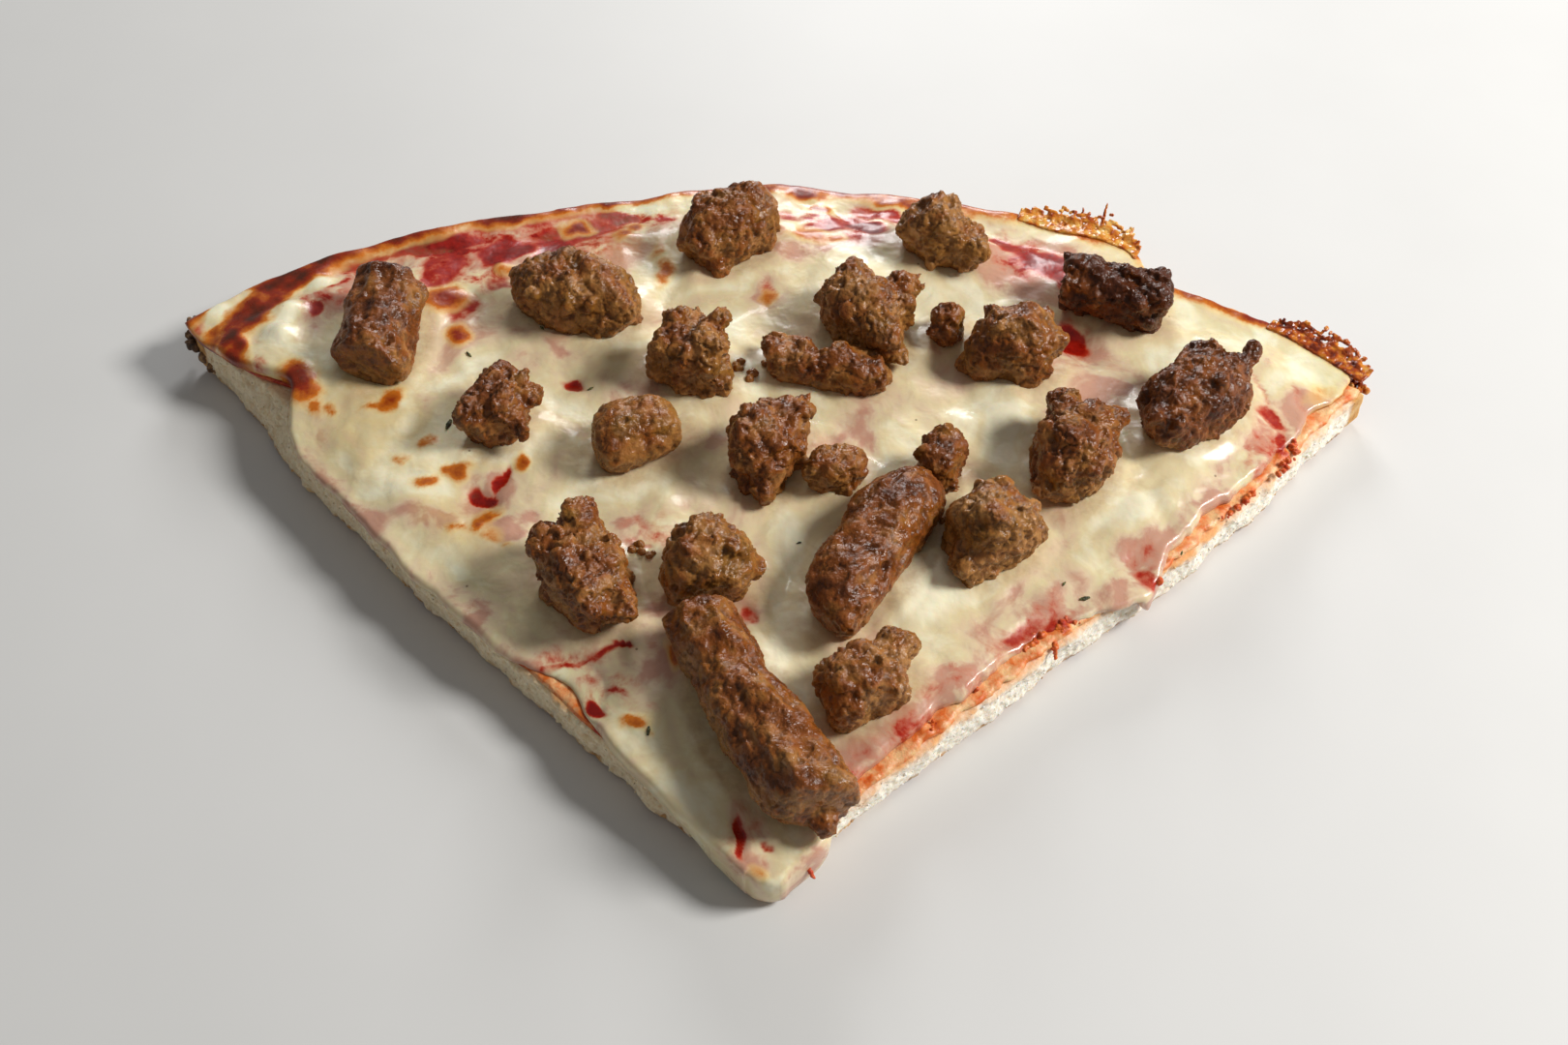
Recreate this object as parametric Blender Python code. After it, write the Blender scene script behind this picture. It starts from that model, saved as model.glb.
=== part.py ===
# A quarter slice of a large pan pizza with tomato sauce, melted cheese and browned sausage pieces.
# Lengths are in millimetres and angles in degrees; MM turns them into metres when a mesh is made.
# The slice lies flat on its underside, its tip towards -Y, its baked rim towards +Y, and +Z is up.

import math

import bmesh
import bpy
from mathutils import Vector, noise
from mathutils.bvhtree import BVHTree

MM = 0.001
GAP = 0.35

# Plan of the slice: two cut sides that meet at the tip, and the rim as an arc round the tip
TIP = (0.1, -97.7)
LEFT_ANGLE = -44.5
RIGHT_ANGLE = 46.5
NOSE_RADIUS = 5.0
RIM_RADIUS = 190.0
LEFT_CORNER_STRETCH = 7.0
RIGHT_RIM_STEP = 8.5
BAKED_OVERHANG = 2.6
CRISP_REACH = 5.0
TIP_DRAPE_REACH = 2.7
RIGHT_RECESS = 3.8
FOLD_RADIUS = 104.7
FOLD_SPREAD = 12.0
FOLD_DROP_SPREAD = 3.5
TORN_RADIUS = 161.0
TORN_SPREAD = 17.0
TORN_DEPTH = 5.0
TORN_FROM_ANGLE = 30.0
TORN_OVER_ANGLE = 8.0

# Gentle departures of the edges from straight lines and from the arc, outwards where positive
STRETCH_FROM_ANGLE = -12.0
STRETCH_OVER_ANGLE = 24.0
STEP_ANGLE = 26.5
STEP_OVER_ANGLE = 3.5
STEP_RECOVERY = 3.0
RECOVERY_FROM_ANGLE = 31.0
RECOVERY_OVER_ANGLE = 12.0
RIM_BULGE = (2.2, -0.5, 3.0)
LEFT_SWELL = (1.8, 95.0, 38.0)
LEFT_CORNER_INSET = 4.0
LEFT_CORNER_FROM = 145.0
LEFT_CORNER_OVER = 45.0
RIGHT_TIP_INSET = 3.2
RIGHT_TIP_FROM = 25.0
RIGHT_TIP_OVER = 50.0
RIGHT_SWELL = 4.2
RIGHT_SWELL_FROM = 72.0
RIGHT_SWELL_OVER = 58.0
RIGHT_CORNER_INSET = 1.9
RIGHT_CORNER_FROM = 150.0
RIGHT_CORNER_OVER = 30.0

# Edge waves: height, then the wavelength in millimetres, or in degrees round the rim
RIM_WAVE = (1.2, 4.0)
LEFT_WAVE = (0.5, 12.0)
RIGHT_WAVE = (0.7, 10.0)
CHEESE_WAVE = (1.4, 9.0)
SAUCE_WAVE = (0.5, 5.0)

# Lacy baked cheese that ran out past the rim: angle and spread of each place
CRISP_PLACES = ((23.5, 3.4), (43.5, 3.6))

# How the cheese hangs at the edges
LEFT_CHEESE_LIP = 0.9
TORN_CHEESE_SET_BACK = 4.5
TORN_CHEESE_SPREAD = 8.0
LEFT_DRAPE_FROM = 12.0
LEFT_DRAPE_OVER = 22.0
RIGHT_DRAPE_FROM = 15.0
RIGHT_DRAPE_OVER = 16.0
LIP_DRAPE_FROM = 10.0
LIP_DRAPE_OVER = 18.0
UNDER_DRAPE_OVER = 25.0
FOLD_DROP = 0.75
CLEAR_OVERHANG = 1.7
CLEAR_OVERHANG_OVER = 0.5
FOLD_FROM_ANGLE = 40.0
FOLD_OVER_ANGLE = 4.0
SAUCE_INSET = 1.2
SAUCE_RIM_INSET = 1.5

# Heights of the layers
DOUGH_HEIGHT = 9.6
DOUGH_TIP_THINNING = 4.2
DOUGH_SHOULDER = 1.4
DOUGH_SIDE_INSET = 0.35
DOUGH_FOOT = 1.6
THINNING_FROM = 4.0
THINNING_OVER = 55.0
LEFT_CORNER_RISE = 1.6
CORNER_ANGLE = -43.0
CORNER_SPREAD = 9.0
CORNER_FROM = 130.0
CORNER_OVER = 30.0
DOUGH_RELIEF = (0.45, 38.0)
CHEESE_RELIEF = (0.5, 22.0)
CRUMB_RELIEF = (0.35, 6.0)
SAUCE_THICKNESS = 0.9
SAUCE_ROUNDING = 0.55
CHEESE_THICKNESS = 2.5
THINNEST_CHEESE = 0.9
BAKED_RIM_FALL = 3.0
BAKED_RIM_WIDTH = 14.0
CHEESE_SHOULDER = 1.35
LIP_THINNING = 0.1
THINNEST_LIP = 0.3
DRAPED_LIP_HEIGHT = 1.3
EDGE_STEP = 2.9
WIDEST_EDGE_SHARE = 0.36
DOUGH_GRID = (20, 19)
CHEESE_GRID = (30, 27)

# Thick swells of cheese and hollows over the sauce: x, y, radius, height
CHEESE_SWELLS = (
    (32, -34, 11, 1.5),
    (83, -3, 17, 1.9),
    (94, 11, 12, 0.9),
    (-12, 43, 9, 1.6),
    (-75, 3, 15, 1.2),
    (-107, 34, 10, 1.6),
    (-29, -65, 14, 0.9),
    (-6, -89, 9, 1.0),
    (-49, 13, 12, 0.8),
    (37, -55, 14, 1.0),
    (19, 65, 14, 0.9),
    (49, 15, 12, 1.1),
    (109, 37, 14, 0.8),
    (-61, -8, 5, -1.3),
    (-45, 27, 4, -1.0),
    (-35, -53, 6, -0.9),
    (69, 38, 6, -1.3),
    (53, -39, 8, -0.9),
    (75, -27, 7, -1.1),
    (-6, -39, 5, -0.8),
)

# Sausage pieces: name, centre x and y, length, width, height, turn, bend, and bumps that stand out
# of the rounded body as (along, across, up, radius), measured from the middle of the piece
SAUSAGE_PIECES = (
    ("link_slice_left", -87, 37.5, 27, 17.5, 15, 76, 0, ((10, 2, 1, 7), (-10, -3, 0, 6))),
    ("back_left", -44.5, 47.8, 27.5, 18, 15, -12, 0, ((-10, 2, 0, 6), (-2, 5, 6, 3.5), (9, -1, -1, 7))),
    ("back_middle", -10, 69, 24, 15.5, 16, 24, 0, ((6, 2, 4, 6), (-7, -2, 1, 6), (0, 1, 6.5, 3))),
    ("back_pale", 39.5, 68, 19, 14, 14, -18, 0, ((-2, 3, 5, 4), (8, -3, -1, 4.5), (-7, -2, 0, 4))),
    ("seared_link", 78.5, 48, 24, 13.5, 15, -18, 0, ((-12, 2, 3.5, 3), (9, 0, 0, 6), (4, 1, 4, 4.5))),
    ("seared_spiked", 92, 15, 26, 19, 15, 38, 1.5, ((5, 6, 3, 4.5), (13.5, -2, 4.5, 2.5), (-9, -2, 0, 6.5))),
    ("dark_edged", 54, 31, 18, 16.5, 15, -12, 0, ((8, 1, 2, 4), (2, 4, 5, 4), (-6, -2, -2, 6.5))),
    ("back_right", 21, 42, 23, 17, 15, -48, 0, ((-8, 3, 4, 4.5), (2, 12, 2, 4.5), (8, -2, 0, 6))),
    ("bridge_bit", 39.6, 40, 9.5, 8.5, 9, 55, 0, ((2, 1, 2, 2.5), (-3, -1, -1, 2.5))),
    ("curled_top", -18, 28, 18.5, 14, 15, -10, 0, ((-2, 5, 6.5, 3.5), (5, 5, 6, 3.5), (6, -2, -2, 5))),
    ("flat_crumble", 11.5, 27, 28, 9.5, 8, -14, 0, ((-11, 2, 2, 3.5), (3, 1, 2, 5), (11, 0, 0, 4.5))),
    ("curled_end", -59.2, 12, 17, 12.5, 14, 64, 1.0, ((6, 0, 2, 5.5), (-5, 2, 2, 4.5), (4, -5, 3, 3))),
    ("round_left", -28.8, 6, 20, 15.5, 15, 28, 0, ((7, 1, 2, 6), (-7, -1, -1, 6))),
    ("centre_drop", 0, 2.5, 22, 15.5, 15, 68, 0, ((8, -2, 1, 5), (-9, -2, -2, 4), (-1, 2, 2, 7.5))),
    ("centre_ball", 14, -3, 12.5, 10, 10, 0, 0, ((3, 1, 1, 4), (-3, -1, 0, 4))),
    ("two_peaked", 64.4, 0.6, 22, 18.5, 16, 74, 0, ((9, 5, 4, 4), (5, -6, 4, 4), (-8, 1, -1, 6))),
    ("long_chunk", 20.5, -26.5, 40, 18, 16, 57, -2.0, ((13, 1, 2, 6.6), (-13, 0, 0, 8), (1, -2, 4, 6))),
    ("chunk_head", 36.4, -1.8, 14, 10, 13, 64, 0, ((3, 1, 4, 3.5), (-3, -1, -1, 4.5))),
    ("right_round", 45.2, -21, 19, 17, 16, 32, 0, ((5, 5, 1, 5), (-7, -3, -2, 5), (6, -5, 0, 4))),
    ("jagged", -37, -32, 25, 18, 16, -64, 0, ((-9, 4, 5, 4), (-8, -5, 5, 4), (10, 3, 0, 5))),
    ("left_round", -12, -29.2, 19, 16, 15, -6, 0, ((7.5, 1, 1, 3.5), (-1, 5, 5, 4), (-4, -3, -1, 6.5))),
    ("long_link", -3, -63.5, 50, 17, 16, -62, 0,
     ((-18, 1, 0, 6.5), (4, 0, 1, 9.5), (14, 0, 0, 10.3), (-6, 0, 2, 8))),
    ("tucked_wedge", 18.6, -57.4, 18.5, 13.5, 14, 26, 0, ((8, 2, 4, 3.5), (1, 3, 4, 4), (-5, -2, -1, 6))),
)
PIECE_SQUARENESS = 2.5
PIECE_ROUGHNESS = 0.16
BEND_BALANCE = 0.4
PIECE_KEY_SCALE = 0.37
PIECE_LUMP_SIZE = 7.0
PIECE_SINK = 0.42
PIECE_CLEARANCE = 0.5
HIGH_ABOVE = 100.0
RINGS_ALONG_PIECE = 9
POINTS_ROUND_PIECE = 14

# Colours from the photograph as linear red, green and blue, then roughness
MATERIALS = {
    "baked_dough": ((0.62, 0.50, 0.36), 0.85),
    "tomato_sauce": ((0.42, 0.035, 0.015), 0.35),
    "melted_cheese": ((0.80, 0.68, 0.42), 0.35),
    "browned_sausage": ((0.16, 0.075, 0.035), 0.45),
}


def clear_scene():
    for old in list(bpy.data.objects):
        bpy.data.objects.remove(old, do_unlink=True)


def smooth_step(value):
    value = min(max(value, 0.0), 1.0)
    return value * value * (3.0 - 2.0 * value)


def ramp(value, start, length):
    """0 up to the start, 1 past the length, and a smooth rise between."""
    return smooth_step((value - start) / length)


def hump(value, centre, width):
    return math.exp(-(((value - centre) / width) ** 2))


def swell(shape, value):
    """A hump given as its height, centre and width."""
    height, centre, width = shape
    return height * hump(value, centre, width)


def wave(shape, value, phase):
    height, wavelength = shape
    return height * noise.noise(Vector((value / wavelength, phase, 0.0)))


def relief(shape, x, y, layer):
    height, size = shape
    return height * noise.noise(Vector((x / size, y / size, 17.3 * layer)))


def polar(x, y):
    """Distance from the tip, and the angle to the right of straight back."""
    across = x - TIP[0]
    back = y - TIP[1]
    return math.hypot(across, back), math.degrees(math.atan2(across, back))


def rim_radius(angle):
    """Reach of the dough at an angle; the left corner is stretched and the right part steps in."""
    stretch = LEFT_CORNER_STRETCH * ramp(-angle, -STRETCH_FROM_ANGLE, STRETCH_OVER_ANGLE)
    step = RIGHT_RIM_STEP * ramp(angle, STEP_ANGLE, STEP_OVER_ANGLE)
    recovery = STEP_RECOVERY * ramp(angle, RECOVERY_FROM_ANGLE, RECOVERY_OVER_ANGLE)
    bulge = swell(RIM_BULGE, angle)
    return RIM_RADIUS + stretch - step + recovery + wave(RIM_WAVE, angle, 3.1) + bulge - BAKED_OVERHANG


def left_edge_shift(radius):
    """How far the dough's left cut runs outside its straight line."""
    under_drape = -TIP_DRAPE_REACH * (1.0 - ramp(radius, LIP_DRAPE_FROM, UNDER_DRAPE_OVER))
    corner = -LEFT_CORNER_INSET * ramp(radius, LEFT_CORNER_FROM, LEFT_CORNER_OVER)
    torn = -TORN_DEPTH * hump(radius, TORN_RADIUS, TORN_SPREAD)
    return under_drape + swell(LEFT_SWELL, radius) + corner + torn + wave(LEFT_WAVE, radius, 7.7)


def right_edge_shift(radius):
    near_tip = -RIGHT_TIP_INSET * (1.0 - ramp(radius, RIGHT_TIP_FROM, RIGHT_TIP_OVER))
    far = RIGHT_SWELL * ramp(radius, RIGHT_SWELL_FROM, RIGHT_SWELL_OVER)
    corner = -RIGHT_CORNER_INSET * ramp(radius, RIGHT_CORNER_FROM, RIGHT_CORNER_OVER)
    return near_tip + far + corner + wave(RIGHT_WAVE, radius, 1.9)


def crisp_reach(angle):
    """How far the lacy cheese ran out past the rim at an angle."""
    return CRISP_REACH * sum(hump(angle, place, spread) for place, spread in CRISP_PLACES)


def left_overhang(radius):
    """How far the cheese reaches past the dough on the left; negative where it has torn back."""
    drape = 1.0 - ramp(radius, LEFT_DRAPE_FROM, LEFT_DRAPE_OVER)
    torn_back = -TORN_CHEESE_SET_BACK * hump(radius, TORN_RADIUS, TORN_CHEESE_SPREAD)
    return LEFT_CHEESE_LIP + (TIP_DRAPE_REACH - LEFT_CHEESE_LIP) * drape + torn_back


def right_overhang(radius):
    drape = 1.0 - ramp(radius, RIGHT_DRAPE_FROM, RIGHT_DRAPE_OVER)
    raised = max(drape, hump(radius, FOLD_RADIUS, FOLD_SPREAD))
    reach = (TIP_DRAPE_REACH + RIGHT_RECESS) * raised - RIGHT_RECESS
    return reach + wave(CHEESE_WAVE, radius, 5.5) * (1.0 - raised)


def rim_overhang(angle):
    return BAKED_OVERHANG + crisp_reach(angle)


def overhang_at(x, y):
    """The cheese's overhang at the nearest edge of the slice."""
    radius, angle = polar(x, y)
    from_left = radius * math.radians(angle - LEFT_ANGLE)
    from_right = radius * math.radians(RIGHT_ANGLE - angle)
    from_rim = rim_radius(angle) - radius
    if radius < NOSE_RADIUS + 4.0:
        return TIP_DRAPE_REACH
    if from_rim < min(from_left, from_right):
        return rim_overhang(angle)
    return left_overhang(radius) if from_left < from_right else right_overhang(radius)


def dough_top(x, y):
    radius, angle = polar(x, y)
    thinning = DOUGH_TIP_THINNING * (1.0 - ramp(radius, THINNING_FROM, THINNING_OVER))
    near_corner = hump(angle, CORNER_ANGLE, CORNER_SPREAD) * ramp(radius, CORNER_FROM, CORNER_OVER)
    return DOUGH_HEIGHT - thinning + LEFT_CORNER_RISE * near_corner + relief(DOUGH_RELIEF, x, y, 1)


def sauce_top(x, y):
    return dough_top(x, y) + GAP + SAUCE_THICKNESS


def cheese_bottom(x, y):
    return sauce_top(x, y) + GAP


def cheese_top(x, y):
    radius, angle = polar(x, y)
    height = cheese_bottom(x, y) + CHEESE_THICKNESS + relief(CHEESE_RELIEF, x, y, 2)
    for swell_x, swell_y, spread, rise in CHEESE_SWELLS:
        distance = math.hypot(x - swell_x, y - swell_y)
        height += rise * hump(distance, 0.0, spread)
    height -= BAKED_RIM_FALL * ramp(radius, rim_radius(angle) - BAKED_RIM_WIDTH, BAKED_RIM_WIDTH)
    return max(height, cheese_bottom(x, y) + THINNEST_CHEESE)


class Outline:
    """Plan outline of one layer: the dough's outline with its own shifts at each side."""

    def __init__(self, left, right, rim, inset_at_tip):
        self.left = left
        self.right = right
        self.rim = rim
        self.rise = inset_at_tip / math.sin(math.radians((RIGHT_ANGLE - LEFT_ANGLE) / 2.0))

    def side_angle(self, distance, on_left):
        """Direction of a cut side from the layer's own apex, at a distance from it."""
        turn = math.radians(LEFT_ANGLE if on_left else RIGHT_ANGLE)
        radius = distance + self.rise * math.cos(turn)
        if on_left:
            shift = -left_edge_shift(radius) - self.left(radius)
        else:
            shift = right_edge_shift(radius) + self.right(radius)
        across = radius * math.sin(turn) + shift * math.cos(turn)
        back = radius * math.cos(turn) - shift * math.sin(turn) - self.rise
        return math.degrees(math.atan2(across, back))

    def nose(self, angle):
        """Distance from the apex to a rounded nose that touches both cut sides."""
        half = math.radians((RIGHT_ANGLE - LEFT_ANGLE) / 2.0)
        turn = math.radians(angle - (RIGHT_ANGLE + LEFT_ANGLE) / 2.0)
        turn = max(min(turn, half), -half)
        centre = NOSE_RADIUS / math.sin(half)
        inside = max(NOSE_RADIUS**2 - (centre * math.sin(turn)) ** 2, 0.0)
        return centre * math.cos(turn) - math.sqrt(inside)

    def point(self, along, column, columns):
        radius = NOSE_RADIUS + (RIM_RADIUS - NOSE_RADIUS) * along
        first = self.side_angle(radius, True)
        last = self.side_angle(radius, False)
        width = radius * math.radians(last - first)
        edge = min(EDGE_STEP / width, WIDEST_EDGE_SHARE)
        if column == 0:
            across = 0.0
        elif column == columns - 1:
            across = 1.0
        else:
            across = edge + (1.0 - 2.0 * edge) * (column - 1) / (columns - 3)
        angle = first + (last - first) * across
        turn = math.radians(angle)
        start = self.nose(angle)
        end = rim_radius(angle) + self.rim(angle) - self.rise * math.cos(turn)
        distance = start + (end - start) * along
        return TIP[0] + distance * math.sin(turn), TIP[1] + self.rise + distance * math.cos(turn)

    def grid(self, columns, rows):
        """Rows of plan points from the tip to the rim, closer together beside each edge."""
        edge = EDGE_STEP / RIM_RADIUS
        steps = [0.0]
        for row in range(rows - 2):
            steps.append(edge + (1.0 - 2.0 * edge) * row / (rows - 3))
        steps.append(1.0)
        return [[self.point(along, column, columns) for column in range(columns)] for along in steps]


def border_of(grid):
    """Row and column of each border point, anticlockwise from the left of the tip."""
    rows = len(grid)
    columns = len(grid[0])
    border = [(0, column) for column in range(columns)]
    border += [(row, columns - 1) for row in range(1, rows)]
    border += [(rows - 1, column) for column in range(columns - 2, -1, -1)]
    border += [(row, 0) for row in range(rows - 2, 0, -1)]
    return border


def outward_normals(grid, border):
    normals = []
    for index in range(len(border)):
        before = grid[border[index - 1][0]][border[index - 1][1]]
        following = border[(index + 1) % len(border)]
        after = grid[following[0]][following[1]]
        along = Vector((after[0] - before[0], after[1] - before[1]))
        along.normalize()
        normals.append(Vector((along.y, -along.x)))
    return normals


def build_layer(name, grid, top, bottom, rings, material):
    """A closed layer: a top sheet, a bottom sheet, and rings of points down its side between them.

    A ring gives, for the border point at x and y, how far it lies inside the outline and its height.
    """
    border = border_of(grid)
    normals = outward_normals(grid, border)
    place = {border[index]: index for index in range(len(border))}
    mesh = bmesh.new()

    def side_point(index, ring):
        x, y = grid[border[index][0]][border[index][1]]
        inset, height = ring(x, y)
        return Vector((x - normals[index].x * inset, y - normals[index].y * inset, height)) * MM

    def sheet(height_of, ring):
        points = []
        for row in range(len(grid)):
            line = []
            for column in range(len(grid[0])):
                if (row, column) in place:
                    spot = side_point(place[(row, column)], ring)
                else:
                    x, y = grid[row][column]
                    spot = Vector((x, y, height_of(x, y))) * MM
                line.append(mesh.verts.new(spot))
            points.append(line)
        return points

    upper = sheet(top, rings[0])
    lower = sheet(bottom, rings[-1])
    for row in range(len(grid) - 1):
        for column in range(len(grid[0]) - 1):
            for points, order in ((upper, (0, 1, 2, 3)), (lower, (3, 2, 1, 0))):
                corners = (
                    points[row][column],
                    points[row][column + 1],
                    points[row + 1][column + 1],
                    points[row + 1][column],
                )
                mesh.faces.new([corners[corner] for corner in order])
    loops = [[upper[row][column] for row, column in border]]
    for ring in rings[1:-1]:
        loops.append([mesh.verts.new(side_point(index, ring)) for index in range(len(border))])
    loops.append([lower[row][column] for row, column in border])
    for higher, below in zip(loops, loops[1:]):
        for index in range(len(border)):
            after = (index + 1) % len(border)
            mesh.faces.new((higher[index], below[index], below[after], higher[after]))
    return finish_object(name, mesh, material)


def finish_object(name, mesh, material):
    bmesh.ops.triangulate(mesh, faces=mesh.faces)
    data = bpy.data.meshes.new(name)
    mesh.to_mesh(data)
    mesh.free()
    data.shade_smooth()
    data.materials.append(material)
    piece = bpy.data.objects.new(name, data)
    bpy.context.scene.collection.objects.link(piece)
    return piece


def make_material(name):
    colour, roughness = MATERIALS[name]
    material = bpy.data.materials.new(name)
    material.use_nodes = True
    shader = material.node_tree.nodes["Principled BSDF"]
    shader.inputs["Base Color"].default_value = (*colour, 1.0)
    shader.inputs["Roughness"].default_value = roughness
    shader.inputs["Metallic"].default_value = 0.0
    return material


def dough_outline():
    return Outline(lambda radius: 0.0, lambda radius: 0.0, lambda angle: 0.0, TIP_DRAPE_REACH)


def build_dough():
    """Bread base with torn crumb at the cut sides; the left corner leans out and the rim is low."""

    def lean(x, y):
        radius, angle = polar(x, y)
        on_left = ramp(-angle, TORN_FROM_ANGLE, TORN_OVER_ANGLE)
        torn = -TORN_DEPTH * hump(radius, TORN_RADIUS, TORN_SPREAD) * on_left
        return torn + relief(CRUMB_RELIEF, x, y, 4)

    rings = (
        lambda x, y: (DOUGH_SHOULDER, dough_top(x, y) - 0.1 * DOUGH_SHOULDER),
        lambda x, y: (DOUGH_SIDE_INSET, dough_top(x, y) - DOUGH_SHOULDER),
        lambda x, y: (DOUGH_SIDE_INSET + 0.6 * lean(x, y), 0.55 * dough_top(x, y)),
        lambda x, y: (DOUGH_SIDE_INSET + lean(x, y), DOUGH_FOOT),
        lambda x, y: (DOUGH_FOOT + lean(x, y), 0.0),
    )
    grid = dough_outline().grid(*DOUGH_GRID)
    return build_layer(
        "dough_base", grid, dough_top, lambda x, y: 0.0, rings, make_material("baked_dough")
    )


def build_sauce():
    outline = Outline(
        lambda radius: -SAUCE_INSET,
        lambda radius: wave(SAUCE_WAVE, radius, 8.8) - SAUCE_INSET,
        lambda angle: -SAUCE_RIM_INSET,
        TIP_DRAPE_REACH + SAUCE_INSET,
    )
    rings = (
        lambda x, y: (SAUCE_ROUNDING, sauce_top(x, y)),
        lambda x, y: (0.0, dough_top(x, y) + GAP + 0.5 * SAUCE_THICKNESS),
        lambda x, y: (SAUCE_ROUNDING, dough_top(x, y) + GAP),
    )
    grid = outline.grid(*DOUGH_GRID)
    return build_layer(
        "tomato_sauce",
        grid,
        sauce_top,
        lambda x, y: dough_top(x, y) + GAP,
        rings,
        make_material("tomato_sauce"),
    )


def build_cheese():
    """Melted sheet with swells; it drapes over the tip and over the rim and folds down on the right."""
    outline = Outline(left_overhang, right_overhang, rim_overhang, 0.0)

    def lip_drop(x, y):
        """How far the sheet's lower edge hangs below its underside."""
        radius, angle = polar(x, y)
        drape = 1.0 - ramp(radius, LIP_DRAPE_FROM, LIP_DRAPE_OVER)
        at_right = ramp(angle, FOLD_FROM_ANGLE, FOLD_OVER_ANGLE)
        fold = FOLD_DROP * hump(radius, FOLD_RADIUS, FOLD_DROP_SPREAD) * at_right
        clear = ramp(overhang_at(x, y), CLEAR_OVERHANG, CLEAR_OVERHANG_OVER)
        return max(drape, fold) * clear * (cheese_bottom(x, y) - DRAPED_LIP_HEIGHT)

    def wall_inset(x, y):
        return max(overhang_at(x, y) - GAP - LIP_THINNING, THINNEST_LIP)

    def lip_height(x, y):
        return cheese_bottom(x, y) - lip_drop(x, y)

    rings = (
        lambda x, y: (CHEESE_SHOULDER, cheese_top(x, y) - 0.2 * CHEESE_SHOULDER),
        lambda x, y: (0.2 * CHEESE_SHOULDER, cheese_top(x, y) - 0.9 * CHEESE_SHOULDER),
        lambda x, y: (0.0, lip_height(x, y) + THINNEST_CHEESE),
        lambda x, y: (0.5 * wall_inset(x, y), lip_height(x, y)),
        lambda x, y: (wall_inset(x, y), lip_height(x, y) + LIP_THINNING),
        lambda x, y: (wall_inset(x, y) + LIP_THINNING, cheese_bottom(x, y)),
    )
    grid = outline.grid(*CHEESE_GRID)
    return build_layer(
        "melted_cheese", grid, cheese_top, cheese_bottom, rings, make_material("melted_cheese")
    )


def body_reach(direction, half):
    """Distance from the middle of a rounded block to its surface."""
    total = 0.0
    for axis in range(3):
        total += abs(direction[axis] / half[axis]) ** PIECE_SQUARENESS
    return total ** (-1.0 / PIECE_SQUARENESS)


def bump_reach(direction, bump):
    """Distance to the far side of a round bump, or zero where it isn't met."""
    centre = Vector(bump[:3])
    middle = direction.dot(centre)
    inside = middle * middle - centre.length_squared + bump[3] ** 2
    return middle + math.sqrt(inside) if inside > 0.0 else 0.0


def build_piece(row, seat, material):
    """One sausage piece, lumpy above and flattened where it lies on the cheese."""
    name, x, y, length, width, height, turn, bend, bumps = row
    half = (length / 2.0, width / 2.0, height * (1.0 - PIECE_SINK))
    turn = math.radians(turn)
    middle = seat(x, y) + height * PIECE_SINK
    key = Vector((x, y, 2.0)) * PIECE_KEY_SCALE

    def spot(direction):
        reach = body_reach(direction, half)
        for bump in bumps:
            reach = max(reach, bump_reach(direction, bump))
        local = direction * reach
        lumps = noise.noise(local / PIECE_LUMP_SIZE + key)
        local = local * (1.0 + PIECE_ROUGHNESS * lumps)
        across = local.y + bend * ((2.0 * local.x / length) ** 2 - BEND_BALANCE)
        spot_x = x + local.x * math.cos(turn) - across * math.sin(turn)
        spot_y = y + local.x * math.sin(turn) + across * math.cos(turn)
        floor = seat(spot_x, spot_y) + PIECE_CLEARANCE
        return Vector((spot_x, spot_y, max(middle + local.z, floor))) * MM

    mesh = bmesh.new()
    ends = [mesh.verts.new(spot(Vector((side, 0.0, 0.0)))) for side in (-1.0, 1.0)]
    rings = []
    for ring in range(1, RINGS_ALONG_PIECE):
        tilt = math.pi * ring / RINGS_ALONG_PIECE
        line = []
        for step in range(POINTS_ROUND_PIECE):
            roll = 2.0 * math.pi * (step + 0.5 * (ring % 2)) / POINTS_ROUND_PIECE
            direction = (-math.cos(tilt), math.sin(tilt) * math.cos(roll), math.sin(tilt) * math.sin(roll))
            line.append(mesh.verts.new(spot(Vector(direction))))
        rings.append(line)
    for step in range(POINTS_ROUND_PIECE):
        after = (step + 1) % POINTS_ROUND_PIECE
        mesh.faces.new((ends[0], rings[0][after], rings[0][step]))
        mesh.faces.new((ends[1], rings[-1][step], rings[-1][after]))
        for near, far in zip(rings, rings[1:]):
            mesh.faces.new((near[step], near[after], far[after], far[step]))
    return finish_object("sausage_" + name, mesh, material)


def seat_finder(cheese):
    """A function that gives the height of the cheese under a point, in millimetres."""
    mesh = bmesh.new()
    mesh.from_mesh(cheese.data)
    tree = BVHTree.FromBMesh(mesh)
    mesh.free()

    def seat(x, y):
        hit = tree.ray_cast(Vector((x, y, HIGH_ABOVE)) * MM, Vector((0.0, 0.0, -1.0)))
        return hit[0].z / MM if hit[0] else cheese_top(x, y)

    return seat


def main():
    clear_scene()
    build_dough()
    build_sauce()
    cheese = build_cheese()
    seat = seat_finder(cheese)
    material = make_material("browned_sausage")
    for row in SAUSAGE_PIECES:
        build_piece(row, seat, material)


main()
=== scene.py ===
# A quarter slice of pizza with tomato sauce, melted cheese and browned sausage.
# Sizes and places are millimetres in the slice's own frame: tip towards -Y, baked rim towards +Y, +Z up.

import math

import bmesh
import bpy
import numpy as np
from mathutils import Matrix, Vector, geometry, kdtree, noise


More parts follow.
